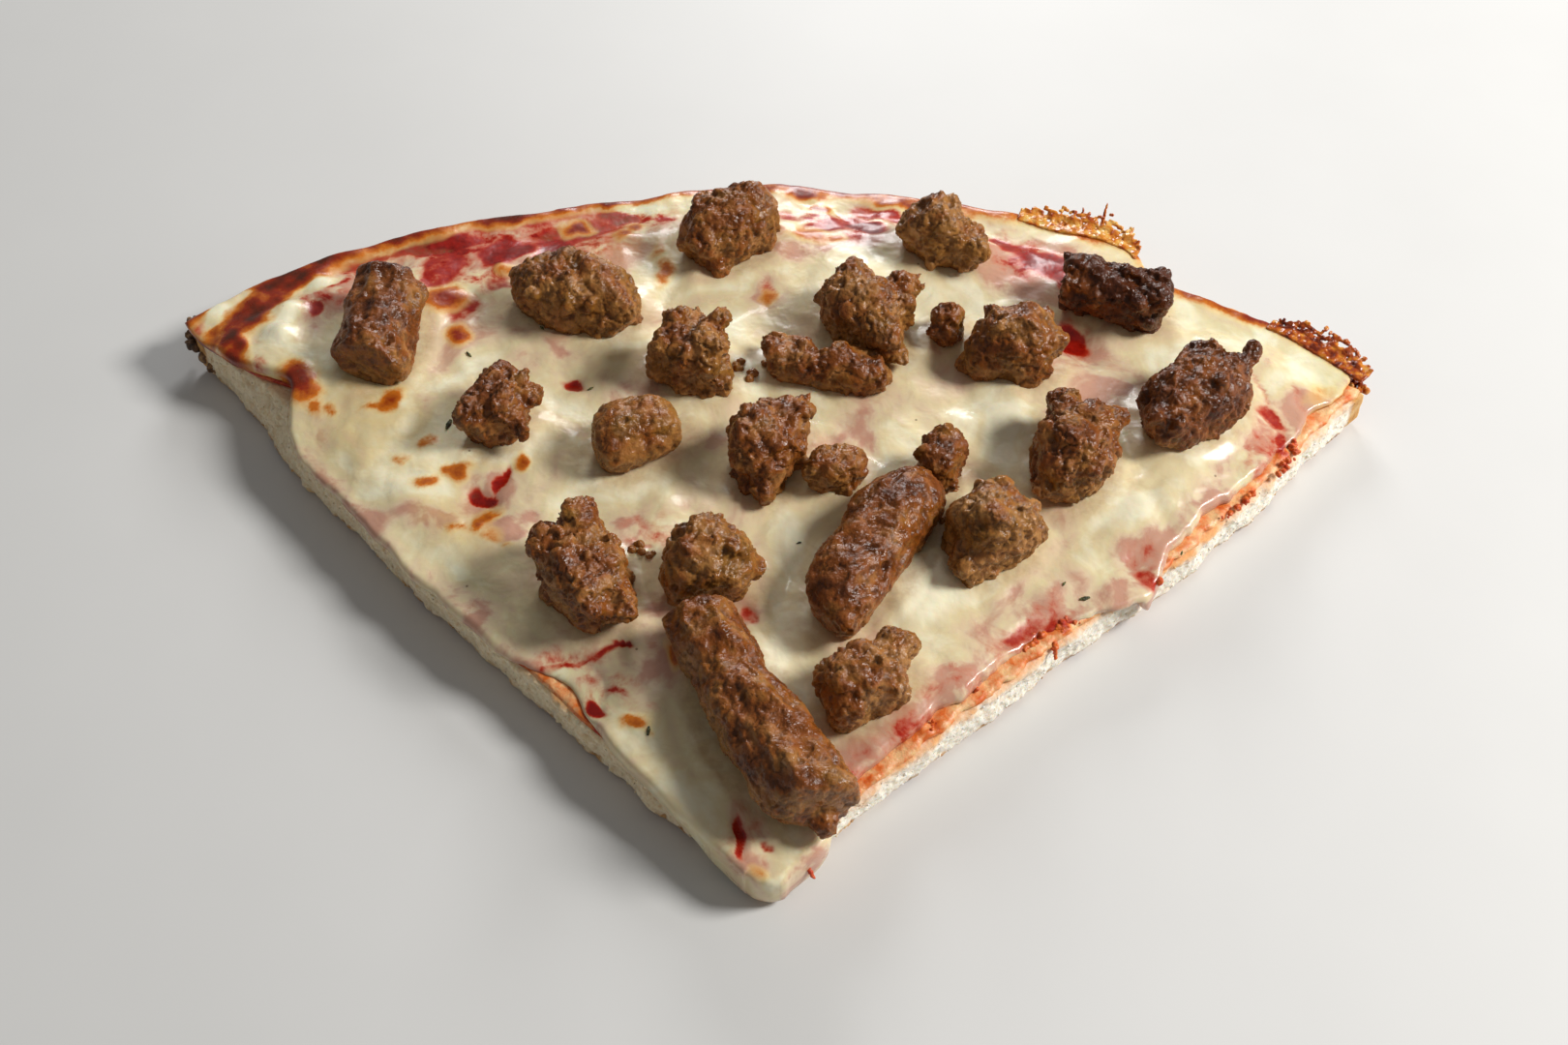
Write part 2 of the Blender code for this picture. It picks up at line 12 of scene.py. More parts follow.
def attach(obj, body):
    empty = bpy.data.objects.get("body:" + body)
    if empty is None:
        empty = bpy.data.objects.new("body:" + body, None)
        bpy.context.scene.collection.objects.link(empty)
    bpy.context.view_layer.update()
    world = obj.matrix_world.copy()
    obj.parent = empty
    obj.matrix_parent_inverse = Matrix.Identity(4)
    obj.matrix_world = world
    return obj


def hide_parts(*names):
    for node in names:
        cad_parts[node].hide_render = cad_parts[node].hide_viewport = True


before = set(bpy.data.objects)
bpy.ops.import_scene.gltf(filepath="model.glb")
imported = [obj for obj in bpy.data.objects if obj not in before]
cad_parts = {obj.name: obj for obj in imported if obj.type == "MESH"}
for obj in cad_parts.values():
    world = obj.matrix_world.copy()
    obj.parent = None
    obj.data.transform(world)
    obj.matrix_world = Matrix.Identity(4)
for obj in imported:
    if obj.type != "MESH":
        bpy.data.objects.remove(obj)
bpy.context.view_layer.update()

mm = 0.001

# Vector noise follows the clock unless it is seeded
noise.seed_set(7)

# Plan of the slice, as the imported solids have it
plan = {
    "tip": (0.1, -97.7), "leftAngle": -44.5, "rightAngle": 46.5, "noseRadius": 5.0, "rimRadius": 190.0,
    "cornerStretch": (7.0, 12.0, 24.0), "rimStep": (8.5, 26.5, 3.5), "stepRecovery": (3.0, 31.0, 12.0),
    "rimBulge": (2.2, -0.5, 3.0), "bakedOverhang": 2.6, "crispReach": 5.0,
    "crispPlaces": ((23.5, 3.4), (43.5, 3.6)), "tipDrape": 2.7, "leftLip": 0.9, "rightRecess": 3.8,
    "foldRadius": 104.7, "foldSpread": 12.0, "tornRadius": 161.0, "tornSpread": 17.0, "tornDepth": 5.0,
    "bareRadius": 59.0, "bareSpread": 11.0, "bareDepth": 4.8,
    "leftWaves": ((26.0, 1.3, 51.0), (7.0, 0.5, 52.0)),
}
heights = {
    "seat": 12.5, "dough": 9.6, "tipThinning": 4.2, "cornerRise": 1.6, "sauce": 0.9, "cheese": 2.5,
    "gap": 0.35, "rimFall": 3.0, "rimWidth": 14.0, "thinnest": 0.9, "lip": 1.3, "crumbRise": 0.8,
    "doughWaves": (0.45, 38.0), "cheeseWaves": (0.5, 22.0),
}

# Thick swells of cheese and hollows over the sauce: x, y, radius, height
cheeseSwells = (
    (32, -34, 11, 1.5), (83, -3, 17, 1.9), (94, 11, 12, 0.9), (-12, 43, 9, 1.6), (-75, 3, 15, 1.2),
    (-107, 34, 10, 1.6), (-29, -65, 14, 0.9), (-6, -89, 9, 1.0), (-49, 13, 12, 0.8), (37, -55, 14, 1.0),
    (19, 65, 14, 0.9), (49, 15, 12, 1.1), (109, 37, 14, 0.8), (-61, -8, 5, -1.3), (-45, 27, 4, -1.0),
    (-35, -53, 6, -0.9), (69, 38, 6, -1.3), (53, -39, 8, -0.9), (75, -27, 7, -1.1), (-6, -39, 5, -0.8),
    (-66, 80, 6, 1.8), (-40, 86, 3, 1.4), (1, 89, 7, 2.2), (30, 86, 5, 1.5), (-127, 50, 3.6, 1.9),
    (-123, 54, 3, 1.5), (-111, 49, 3.4, 1.5), (-111, 40, 3.4, 1.5), (-106, 59, 3.6, 1.4),
    (-116, 52, 3, -0.8), (-117, 40, 3, -0.8), (76, 75, 5, 1.5),
)


def smoothStep(value):
    value = np.clip(value, 0.0, 1.0)
    return value * value * (3.0 - 2.0 * value)


def ramp(value, start, length):
    return smoothStep((value - start) / length)


def hump(value, centre, width):
    return np.exp(-(((value - centre) / width) ** 2))


def wave(height, length, values, phase):
    flat = [noise.noise((value / length, phase, 0.0)) for value in np.ravel(values).tolist()]
    return height * np.array(flat).reshape(np.shape(values))


def noiseOn(points, size, key=0.0):
    # Smooth noise from about -1 to 1, one value for each row of x, y, z
    scaled = np.asarray(points) / size + key
    return np.array([noise.noise(point) for point in scaled.tolist()])


def flatNoise(x, y, size, key):
    flat = np.stack([np.ravel(x) / size, np.ravel(y) / size, np.full(np.size(x), key)], axis=1)
    return np.array([noise.noise(point) for point in flat.tolist()]).reshape(np.shape(x))


def polar(x, y):
    across = x - plan["tip"][0]
    back = y - plan["tip"][1]
    return np.hypot(across, back), np.degrees(np.arctan2(across, back))


def fromSides(x, y):
    # Distances in from the left and right cut sides
    radius, angle = polar(x, y)
    return radius * np.radians(angle - plan["leftAngle"]), radius * np.radians(plan["rightAngle"] - angle)


def rimRadius(angle):
    # Out to the baked rim from the tip, without its overhang
    stretch, start, length = plan["cornerStretch"]
    step, stepStart, stepLength = plan["rimStep"]
    recovery, recoveryStart, recoveryLength = plan["stepRecovery"]
    bulge, bulgeAngle, bulgeSpread = plan["rimBulge"]
    radius = plan["rimRadius"] + stretch * ramp(-angle, start, length)
    radius -= step * ramp(angle, stepStart, stepLength)
    radius += recovery * ramp(angle, recoveryStart, recoveryLength)
    radius = radius + bulge * hump(angle, bulgeAngle, bulgeSpread) + wave(1.2, 4.0, angle, 3.1)
    return radius - plan["bakedOverhang"]


def leftEdgeShift(radius):
    shift = -plan["tipDrape"] * (1.0 - ramp(radius, 10.0, 25.0)) + 1.8 * hump(radius, 95.0, 38.0)
    shift -= 4.0 * ramp(radius, 145.0, 45.0)
    shift -= plan["tornDepth"] * hump(radius, plan["tornRadius"], plan["tornSpread"])
    return shift + wave(0.5, 12.0, radius, 7.7)


def rightEdgeShift(radius):
    shift = -3.2 * (1.0 - ramp(radius, 25.0, 50.0)) + 4.2 * ramp(radius, 72.0, 58.0)
    return shift - 1.9 * ramp(radius, 150.0, 30.0) + wave(0.7, 10.0, radius, 1.9)


def leftOverhang(radius):
    drape = 1.0 - ramp(radius, 12.0, 22.0)
    tornBack = -4.5 * hump(radius, plan["tornRadius"], 8.0)
    bare = -plan["bareDepth"] * hump(radius, plan["bareRadius"], plan["bareSpread"]) * (1.0 - drape)
    waves = sum(wave(height, length, radius, phase) for length, height, phase in plan["leftWaves"])
    waves = np.minimum(waves * (1.0 - drape), 0.9)
    return plan["leftLip"] + (plan["tipDrape"] - plan["leftLip"]) * drape + tornBack + bare + waves


def rightOverhang(radius):
    drape = 1.0 - ramp(radius, 15.0, 16.0)
    raised = np.maximum(drape, hump(radius, plan["foldRadius"], plan["foldSpread"]))
    reach = (plan["tipDrape"] + plan["rightRecess"]) * raised - plan["rightRecess"]
    return reach + wave(1.4, 9.0, radius, 5.5) * (1.0 - raised)


def rimOverhang(angle):
    crisp = sum(hump(angle, place, spread) for place, spread in plan["crispPlaces"])
    return plan["bakedOverhang"] + 0.25 * plan["crispReach"] * crisp


def overhangAt(x, y):
    radius, angle = polar(x, y)
    fromLeft, fromRight = fromSides(x, y)
    fromRim = rimRadius(angle) - radius
    side = np.where(fromLeft < fromRight, leftOverhang(radius), rightOverhang(radius))
    reach = np.where(fromRim < np.minimum(fromLeft, fromRight), rimOverhang(angle), side)
    return np.where(radius < plan["noseRadius"] + 4.0, plan["tipDrape"], reach)


def bareShare(x, y):
    # 1 where sauce and cheese leave the left side bare
    radius, angle = polar(x, y)
    return hump(radius, plan["bareRadius"], plan["bareSpread"]) * ramp(-angle, 20.0, 10.0)


def doughTop(x, y):
    radius, angle = polar(x, y)
    thinning = heights["tipThinning"] * (1.0 - ramp(radius, 4.0, 55.0))
    nearCorner = hump(angle, -43.0, 9.0) * ramp(radius, 130.0, 30.0)
    waver, size = heights["doughWaves"]
    level = heights["dough"] - thinning + heights["cornerRise"] * nearCorner
    return level + waver * flatNoise(x, y, size, 17.3)


def sauceTop(x, y):
    return doughTop(x, y) + heights["gap"] + heights["sauce"]


def crumbTop(x, y):
    # The dough stands a little higher beside the left cut, where the layers on it thin out
    radius, fromLeft = polar(x, y)[0], fromSides(x, y)[0]
    raised = (1.0 - ramp(fromLeft, 3.0, 6.0)) * ramp(radius, 20.0, 15.0)
    return doughTop(x, y) + heights["crumbRise"] * raised


def cheeseBottom(x, y):
    return sauceTop(x, y) + heights["gap"]


def cheeseLevel(x, y):
    # The cheese's top without its fine relief
    radius, angle = polar(x, y)
    bottom = cheeseBottom(x, y)
    waver, size = heights["cheeseWaves"]
    height = bottom + heights["cheese"] + waver * flatNoise(x, y, size, 34.6)
    for swellX, swellY, spread, rise in cheeseSwells:
        height += rise * hump(np.hypot(x - swellX, y - swellY), 0.0, spread)
    height -= heights["rimFall"] * ramp(radius, rimRadius(angle) - heights["rimWidth"], heights["rimWidth"])
    return np.maximum(height, bottom + heights["thinnest"])


def sideAngle(distance, onLeft, reach, rise):
    turn = math.radians(plan["leftAngle"] if onLeft else plan["rightAngle"])
    radius = distance + rise * math.cos(turn)
    if onLeft:
        shift = -leftEdgeShift(radius) - reach(radius)
    else:
        shift = rightEdgeShift(radius) + reach(radius)
    across = radius * math.sin(turn) + shift * math.cos(turn)
    back = radius * math.cos(turn) - shift * math.sin(turn) - rise
    return np.degrees(np.arctan2(across, back))


def noseStart(angle):
    half = math.radians((plan["rightAngle"] - plan["leftAngle"]) / 2.0)
    turn = np.clip(np.radians(angle - (plan["rightAngle"] + plan["leftAngle"]) / 2.0), -half, half)
    centre = plan["noseRadius"] / math.sin(half)
    inside = np.maximum(plan["noseRadius"] ** 2 - (centre * np.sin(turn)) ** 2, 0.0)
    return centre * np.cos(turn) - np.sqrt(inside)


def layerGrid(left, right, rim, tipInset, columns, rows):
    # Plan points of one layer in rows from the tip to the rim
    rise = tipInset / math.sin(math.radians((plan["rightAngle"] - plan["leftAngle"]) / 2.0))
    along = np.linspace(0.0, 1.0, rows)
    distance = plan["noseRadius"] + (plan["rimRadius"] - plan["noseRadius"]) * along
    first = sideAngle(distance, True, left, rise)
    last = sideAngle(distance, False, right, rise)
    angle = first[:, None] + (last - first)[:, None] * np.linspace(0.0, 1.0, columns)[None, :]
    turn = np.radians(angle)
    start = noseStart(angle)
    end = rimRadius(angle) + rim(angle) - rise * np.cos(turn)
    reach = start + (end - start) * along[:, None]
    x, y = plan["tip"][0] + reach * np.sin(turn), plan["tip"][1] + rise + reach * np.cos(turn)
    return np.stack([x, y], axis=-1)


def turnedPlace(x, y, along, across, turn):
    # A place along and across a line that is turned from the x axis
    spotX = x + along * math.cos(turn) - across * math.sin(turn)
    spotY = y + along * math.sin(turn) + across * math.cos(turn)
    return spotX, spotY


def borderIndexes(rows, columns):
    grid = np.arange(rows * columns).reshape(rows, columns)
    return np.concatenate([grid[0, :], grid[1:, -1], grid[-1, -2::-1], grid[-2:0:-1, 0]])


def resample(outline, spacing):
    closed = np.vstack([outline, outline[:1]])
    run = np.concatenate([[0.0], np.cumsum(np.hypot(*np.diff(closed, axis=0).T))])
    count = int(run[-1] / spacing)
    places = np.linspace(0.0, run[-1], count, endpoint=False)
    return np.stack([np.interp(places, run, closed[:, axis]) for axis in (0, 1)], axis=1)


def outwardNormals(outline, spread):
    # Normals of an anticlockwise outline, averaged over some neighbours so that offsets don't cross
    along = np.roll(outline, -1, axis=0) - np.roll(outline, 1, axis=0)
    normals = np.stack([along[:, 1], -along[:, 0]], axis=1)
    total = sum(np.roll(normals, step, axis=0) for step in range(-spread, spread + 1))
    return total / np.linalg.norm(total, axis=1)[:, None]


def ringBeside(outline, normals, out, height):
    # Points moved out from an outline, at their own heights
    return np.column_stack([outline[:, 0] + normals[:, 0] * out, outline[:, 1] + normals[:, 1] * out, height])


def insideOutline(points, outline):
    inside = np.zeros(len(points), bool)
    x, y = points[:, 0], points[:, 1]
    for (startX, startY), (endX, endY) in zip(outline, np.roll(outline, -1, axis=0)):
        crosses = (startY > y) != (endY > y)
        slope = (endX - startX) / (endY - startY) if endY != startY else 0.0
        inside ^= crosses & (x < startX + slope * (y - startY))
    return inside


def fillOutline(outline, spacing, band=0.0, bandSpacing=1.0):
    # Triangles inside an outline, closer together in a band beside it; its own points come first
    tree = kdtree.KDTree(len(outline))
    for index, (x, y) in enumerate(outline.tolist()):
        tree.insert((x, y, 0.0), index)
    tree.balance()
    low, high = outline.min(axis=0), outline.max(axis=0)
    chosen = []
    middle, beside = (spacing, max(band, 0.5 * spacing), 1e9), (bandSpacing, 0.6 * bandSpacing, band)
    for step, nearest, farthest in (middle, beside):
        if nearest >= farthest:
            continue
        rows = np.arange(low[1], high[1], step * 0.87)
        spots = []
        for row, y in enumerate(rows):
            spots += [(x, y) for x in np.arange(low[0] + 0.5 * step * (row % 2), high[0], step)]
        spots = np.array(spots)
        spots = spots[insideOutline(spots, outline)]
        for spot in spots.tolist():
            if nearest <= tree.find((*spot, 0.0))[2] < farthest:
                chosen.append(spot)
    spots = [Vector(spot) for spot in outline.tolist() + chosen]
    ring = [list(range(len(outline)))]
    points, _, faces, _, _, _ = geometry.delaunay_2d_cdt(spots, [], ring, 1, 1e-6)
    return np.array([tuple(point) for point in points]), [list(face) for face in faces]


def turnFaces(flat, triangles, side):
    # Triangles in the plane, wound to look up for a side of 1 and down for -1
    faces = []
    for triangle in triangles:
        a, b, c = (flat[corner] for corner in triangle)
        area = (b[0] - a[0]) * (c[1] - a[1]) - (b[1] - a[1]) * (c[0] - a[0])
        faces.append(triangle[::-1] if area * side < 0.0 else triangle)
    return faces


def makePiece(name, points, faces, material, fields=None):
    data = bpy.data.meshes.new(name)
    data.from_pydata((np.asarray(points) * mm).tolist(), [], faces)
    for key, values in (fields or {}).items():
        data.attributes.new(key, "FLOAT", "POINT").data.foreach_set("value", np.asarray(values, np.float32))
    data.shade_smooth()
    data.materials.append(material)
    piece = bpy.data.objects.new(name, data)
    bpy.context.scene.collection.objects.link(piece)
    return piece


def buildSlab(name, topPoints, topFaces, border, rings, bottomAt, spacing, material, fieldsAt):
    # A closed layer: a top sheet, rings of points down its side, and a plain bottom sheet
    points = [topPoints] + rings
    faces = [list(face) for face in topFaces]
    loops = [np.asarray(border)]
    count = len(border)
    start = len(topPoints)
    for _ in rings:
        loops.append(np.arange(start, start + count))
        start += count
    for above, below in zip(loops, loops[1:]):
        quads = np.stack([above, below, np.roll(below, -1), np.roll(above, -1)], axis=1)
        faces += quads.tolist()
    last = rings[-1]
    flat, triangles = fillOutline(last[:, :2], spacing)
    places = {tuple(np.round(spot, 4)): loops[-1][index] for index, spot in enumerate(last[:, :2])}
    added = []
    renamed = []
    for spot in flat:
        key = tuple(np.round(spot, 4))
        if key in places:
            renamed.append(int(places[key]))
        else:
            renamed.append(start + len(added))
            added.append(spot)
    if added:
        added = np.array(added)
        points.append(np.column_stack([added, bottomAt(added[:, 0], added[:, 1])]))
    faces += [[renamed[corner] for corner in triangle] for triangle in turnFaces(flat, triangles, -1)]
    allPoints = np.vstack(points)
    return makePiece(name, allPoints, faces, material, fieldsAt(allPoints))


# Node helpers
def setInputs(tree, node, inputs):
    # Links a socket, or sets a plain value on the node's own input
    for key, value in inputs.items():
        if isinstance(value, bpy.types.NodeSocket):
            tree.links.new(value, node.inputs[key])
        else:
            node.inputs[key].default_value = value


def addNode(tree, kind, settings=None, inputs=None):
    node = tree.nodes.new(kind)
    for key, value in (settings or {}).items():
        setattr(node, key, value)
    setInputs(tree, node, inputs or {})
    return node


def newMaterial(name):
    # A material, its tree, its shader, and object coordinates in millimetres
    material = bpy.data.materials.new(name)
    material.use_nodes = True
    tree = material.node_tree
    coordinates = addNode(tree, "ShaderNodeTexCoord").outputs["Object"]
    inputs = {"Vector": coordinates, "Scale": (1000.0, 1000.0, 1000.0)}
    places = addNode(tree, "ShaderNodeMapping", None, inputs).outputs[0]
    return material, tree, tree.nodes["Principled BSDF"], places


def noiseNode(tree, places, size, detail=3.0, roughness=0.55, distortion=0.0):
    inputs = {"Vector": places, "Scale": 1.0 / size, "Detail": detail}
    inputs.update({"Roughness": roughness, "Distortion": distortion})
    return addNode(tree, "ShaderNodeTexNoise", None, inputs).outputs["Fac"]


def cellNode(tree, places, size):
    inputs = {"Vector": places, "Scale": 1.0 / size}
    return addNode(tree, "ShaderNodeTexVoronoi", None, inputs).outputs["Distance"]


def rampNode(tree, factor, stops):
    node = addNode(tree, "ShaderNodeValToRGB", None, {"Fac": factor})
    elements = node.color_ramp.elements
    while len(elements) < len(stops):
        elements.new(0.5)
    for element, (place, colour) in zip(elements, stops):
        element.position = place
        element.color = (*colour, 1.0)
    return node.outputs["Color"]


def mixColours(tree, factor, first, second, blend="MIX"):
    node = addNode(tree, "ShaderNodeMix", {"data_type": "RGBA", "blend_type": blend}, {0: factor})
    for index, value in ((6, first), (7, second)):
        if isinstance(value, bpy.types.NodeSocket):
            tree.links.new(value, node.inputs[index])
        else:
            node.inputs[index].default_value = (*value, 1.0)
    return node.outputs[2]


def calculate(tree, operation, *values):
    return addNode(tree, "ShaderNodeMath", {"operation": operation}, dict(enumerate(values))).outputs[0]


def add(tree, first, second):
    return calculate(tree, "ADD", first, second)


def subtract(tree, first, second):
    return calculate(tree, "SUBTRACT", first, second)


def multiply(tree, first, second):
    return calculate(tree, "MULTIPLY", first, second)


def mapRange(tree, value, low, high, toLow=0.0, toHigh=1.0):
    inputs = {"Value": value, "From Min": low, "From Max": high, "To Min": toLow, "To Max": toHigh}
    return addNode(tree, "ShaderNodeMapRange", {"clamp": True}, inputs).outputs[0]


def fieldNode(tree, name):
    settings = {"attribute_type": "GEOMETRY", "attribute_name": name}
    return addNode(tree, "ShaderNodeAttribute", settings).outputs["Fac"]


def bumpNode(tree, height, depth, normal=None):
    inputs = {"Strength": 1.0, "Distance": depth * mm, "Height": height}
    if normal is not None:
        inputs["Normal"] = normal
    return addNode(tree, "ShaderNodeBump", None, inputs).outputs["Normal"]


# Materials
cheeseLook = {
    "thin": (0.60, 0.33, 0.23), "sheer": (0.76, 0.59, 0.39), "plain": (0.80, 0.68, 0.41),
    "thick": (0.92, 0.86, 0.63), "paleRed": (0.66, 0.24, 0.14), "red": (0.52, 0.050, 0.014),
    "deepRed": (0.36, 0.008, 0.002), "darkRed": (0.20, 0.004, 0.001), "golden": (0.89, 0.63, 0.21),
    "orange": (0.60, 0.17, 0.012), "rust": (0.26, 0.020, 0.002), "burnt": (0.07, 0.012, 0.003),
    "grease": (0.52, 0.36, 0.19), "fleck": (0.16, 0.08, 0.03), "roughness": (0.24, 0.42), "specular": 0.36,
    "coat": 0.2, "coatRoughness": 0.08, "scatter": 0.3, "scatterReach": (2.4, 1.4, 0.7),
}


def glow(look):
    # Light that passes into the surface, with its reach in millimetres
    weight, reach = look["scatter"], look["scatterReach"]
    return {"Subsurface Weight": weight, "Subsurface Radius": reach, "Subsurface Scale": mm}


def roughened(tree, field, pattern, amount):
    # A field with its limits broken up by a noise
    return add(tree, field, multiply(tree, subtract(tree, pattern, 0.5), amount))


def makeCheeseMaterial():
    look = cheeseLook
    material, tree, shader, places = newMaterial("meltedCheese")
    broad = noiseNode(tree, places, 15.0, 4.0, 0.55, 0.8)
    fine = noiseNode(tree, places, 1.6, 4.0, 0.6)
    ragged = noiseNode(tree, places, 2.4, 5.0, 0.62)
    veins = noiseNode(tree, places, 6.0, 5.0, 0.58, 0.5)
    thin = fieldNode(tree, "pinkness")
    level = mapRange(tree, broad, 0.34, 0.66, 0.12, 0.95)
    level = add(tree, level, multiply(tree, fieldNode(tree, "thickness"), 0.45))
    sheer = multiply(tree, thin, mapRange(tree, veins, 0.34, 0.66, 1.35, 0.5))
    level = subtract(tree, level, sheer)
    tones = ((0.0, look["thin"]), (0.25, look["sheer"]), (0.55, look["plain"]), (0.95, look["thick"]))
    colour = rampNode(tree, level, tones)
    # Painted contact shade together with meat fat: the cheese beside and under the sausage pieces turns
    # darker and browner
    grease = multiply(tree, fieldNode(tree, "grease"), mapRange(tree, ragged, 0.35, 0.65, 0.15, 0.6))
    colour = mixColours(tree, grease, colour, look["grease"])
    shift = subtract(tree, ragged, 0.5)
    red = fieldNode(tree, "redness")
    marbled = multiply(tree, fieldNode(tree, "marbling"), mapRange(tree, veins, 0.36, 0.6, 0.85, 0.0))
    red = calculate(tree, "MAXIMUM", red, marbled)
    red = add(tree, red, multiply(tree, shift, mapRange(tree, red, 0.0, 0.3, 0.0, 0.9)))
    tones = ((0.15, look["paleRed"]), (0.5, look["red"]), (0.75, look["deepRed"]), (1.0, look["darkRed"]))
    colour = mixColours(tree, mapRange(tree, red, 0.06, 0.62), colour, rampNode(tree, red, tones))
    brown = fieldNode(tree, "browning")
    brown = add(tree, brown, multiply(tree, shift, mapRange(tree, brown, 0.0, 0.3, 0.0, 0.55)))
    tones = ((0.14, look["golden"]), (0.42, look["orange"]), (0.68, look["rust"]), (1.0, look["burnt"]))
    colour = mixColours(tree, mapRange(tree, brown, 0.02, 0.4), colour, rampNode(tree, brown, tones))
    specks = mapRange(tree, cellNode(tree, places, 9.0), 0.02, 0.04, 1.0, 0.0)
    colour = mixColours(tree, multiply(tree, specks, 0.7), colour, look["fleck"])
    normal = bumpNode(tree, noiseNode(tree, places, 5.0, 2.0, 0.45, 0.3), 0.42)
    normal = bumpNode(tree, fine, 0.05, normal)
    setInputs(tree, shader, {
        "Base Color": colour, "Roughness": mapRange(tree, veins, 0.35, 0.68, *look["roughness"]),
        "Specular IOR Level": look["specular"], "Coat Weight": look["coat"],
        "Coat Roughness": look["coatRoughness"], **glow(look), "Normal": normal,
    })
    return material


doughLook = {
    "crumb": (0.98, 0.92, 0.81), "crumbShade": (0.82, 0.69, 0.50), "leftTint": (1.0, 0.88, 0.70),
    "soaked": (0.83, 0.42, 0.17), "crust": (0.58, 0.29, 0.085), "crustDark": (0.24, 0.08, 0.02),
    "crustPale": (0.76, 0.55, 0.28), "roughness": 0.88, "scatter": 0.5, "scatterReach": (1.8, 1.4, 1.0),
}


def makeDoughMaterial():
    look = doughLook
    material, tree, shader, places = newMaterial("bakedDough")
    grain = noiseNode(tree, places, 0.8, 5.0, 0.65)
    pores = cellNode(tree, places, 1.1)
    patches = noiseNode(tree, places, 7.0, 4.0, 0.6)
    # The darker crumb colour comes at random with the grain, and again as painted shade in the pores
    crumb = rampNode(tree, grain, ((0.34, look["crumbShade"]), (0.54, look["crumb"])))
    # Painted shade in the pores of the crumb
    crumb = mixColours(tree, mapRange(tree, pores, 0.05, 0.35, 0.4, 0.0), crumb, look["crumbShade"])
    # Painted shade: the left cut side lies in shade, so its crumb is tinted warmer and darker
    crumb = mixColours(tree, fieldNode(tree, "leftSide"), crumb, look["leftTint"], "MULTIPLY")
    soak = multiply(tree, fieldNode(tree, "soaked"), mapRange(tree, patches, 0.35, 0.62, 0.35, 1.1))
    colour = mixColours(tree, calculate(tree, "MINIMUM", soak, 1.0), crumb, look["soaked"])
    stops = ((0.34, look["crustDark"]), (0.5, look["crust"]), (0.68, look["crustPale"]))
    crust = rampNode(tree, patches, stops)
    browned = roughened(tree, fieldNode(tree, "browned"), grain, 0.7)
    colour = mixColours(tree, mapRange(tree, browned, 0.25, 0.75), colour, crust)
    normal = bumpNode(tree, pores, 0.14)
    normal = bumpNode(tree, grain, 0.16, normal)
    setInputs(tree, shader, {
        "Base Color": colour, "Roughness": look["roughness"], **glow(look), "Normal": normal,
    })
    return material


sauceLook = {
    "thin": (0.90, 0.56, 0.27), "plain": (0.76, 0.17, 0.02), "deep": (0.44, 0.014, 0.003),
    "roughness": (0.26, 0.55), "scatter": 0.2, "scatterReach": (1.6, 0.5, 0.2),
}


def makeSauceMaterial():
    look = sauceLook
    material, tree, shader, places = newMaterial("tomatoSauce")
    pulp = noiseNode(tree, places, 2.2, 5.0, 0.6)
    depth = roughened(tree, fieldNode(tree, "depth"), pulp, 1.3)
    colour = rampNode(tree, depth, ((0.1, look["thin"]), (0.5, look["plain"]), (0.9, look["deep"])))
    setInputs(tree, shader, {
        "Base Color": colour, "Roughness": mapRange(tree, pulp, 0.3, 0.7, *look["roughness"]),
        **glow(look), "Normal": bumpNode(tree, pulp, 0.5),
    })
    return material


sausageLook = {
    "shade": (0.045, 0.013, 0.002), "meat": (0.25, 0.088, 0.015), "light": (0.47, 0.230, 0.062),
    "pink": (0.44, 0.190, 0.070), "olive": (0.31, 0.145, 0.020), "seared": (0.055, 0.010, 0.002),
    "rusty": (0.25, 0.055, 0.005), "roughness": (0.43, 0.17), "specular": 0.37, "scatter": 0.1,
    "scatterReach": (1.4, 0.6, 0.4),
}


def makeSausageMaterial():
    look = sausageLook
    material, tree, shader, places = newMaterial("brownedSausage")
    broad = noiseNode(tree, places, 6.0, 3.0, 0.55)
    grain = noiseNode(tree, places, 1.3, 6.0, 0.68)
    flecks = noiseNode(tree, places, 2.6, 5.0, 0.64)
    blotches = add(tree, multiply(tree, grain, 0.55), multiply(tree, broad, 0.45))
    # Random dark, middle and light meat; the dark colour serves again below as painted shade
    colour = rampNode(tree, blotches, ((0.22, look["shade"]), (0.42, look["meat"]), (0.62, look["light"])))
    colour = mixColours(tree, mapRange(tree, broad, 0.52, 0.66, 0.0, 0.45), colour, look["pink"])
    colour = mixColours(tree, mapRange(tree, broad, 0.48, 0.34, 0.0, 0.6), colour, look["olive"])
    colour = mixColours(tree, multiply(tree, fieldNode(tree, "paleness"), 0.6), colour, look["light"])
    sear = roughened(tree, fieldNode(tree, "sear"), flecks, 1.0)
    colour = mixColours(tree, mapRange(tree, sear, 0.2, 0.6, 0.0, 0.75), colour, look["rusty"])
    colour = mixColours(tree, mapRange(tree, sear, 0.5, 1.0, 0.0, 0.9), colour, look["seared"])
    # Painted shade in the creases and pits
    colour = mixColours(tree, multiply(tree, fieldNode(tree, "crevice"), 0.6), colour, look["shade"])
    normal = bumpNode(tree, noiseNode(tree, places, 2.2, 2.0, 0.5), 0.5)
    normal = bumpNode(tree, noiseNode(tree, places, 0.8, 3.0, 0.55), 0.24, normal)
    setInputs(tree, shader, {
        "Base Color": colour, "Roughness": mapRange(tree, flecks, 0.42, 0.6, *look["roughness"]),
        "Specular IOR Level": look["specular"], **glow(look), "Normal": normal,
    })
    return material


fleckLook = {"dark": (0.02, 0.02, 0.008), "light": (0.11, 0.12, 0.03), "roughness": 0.6}


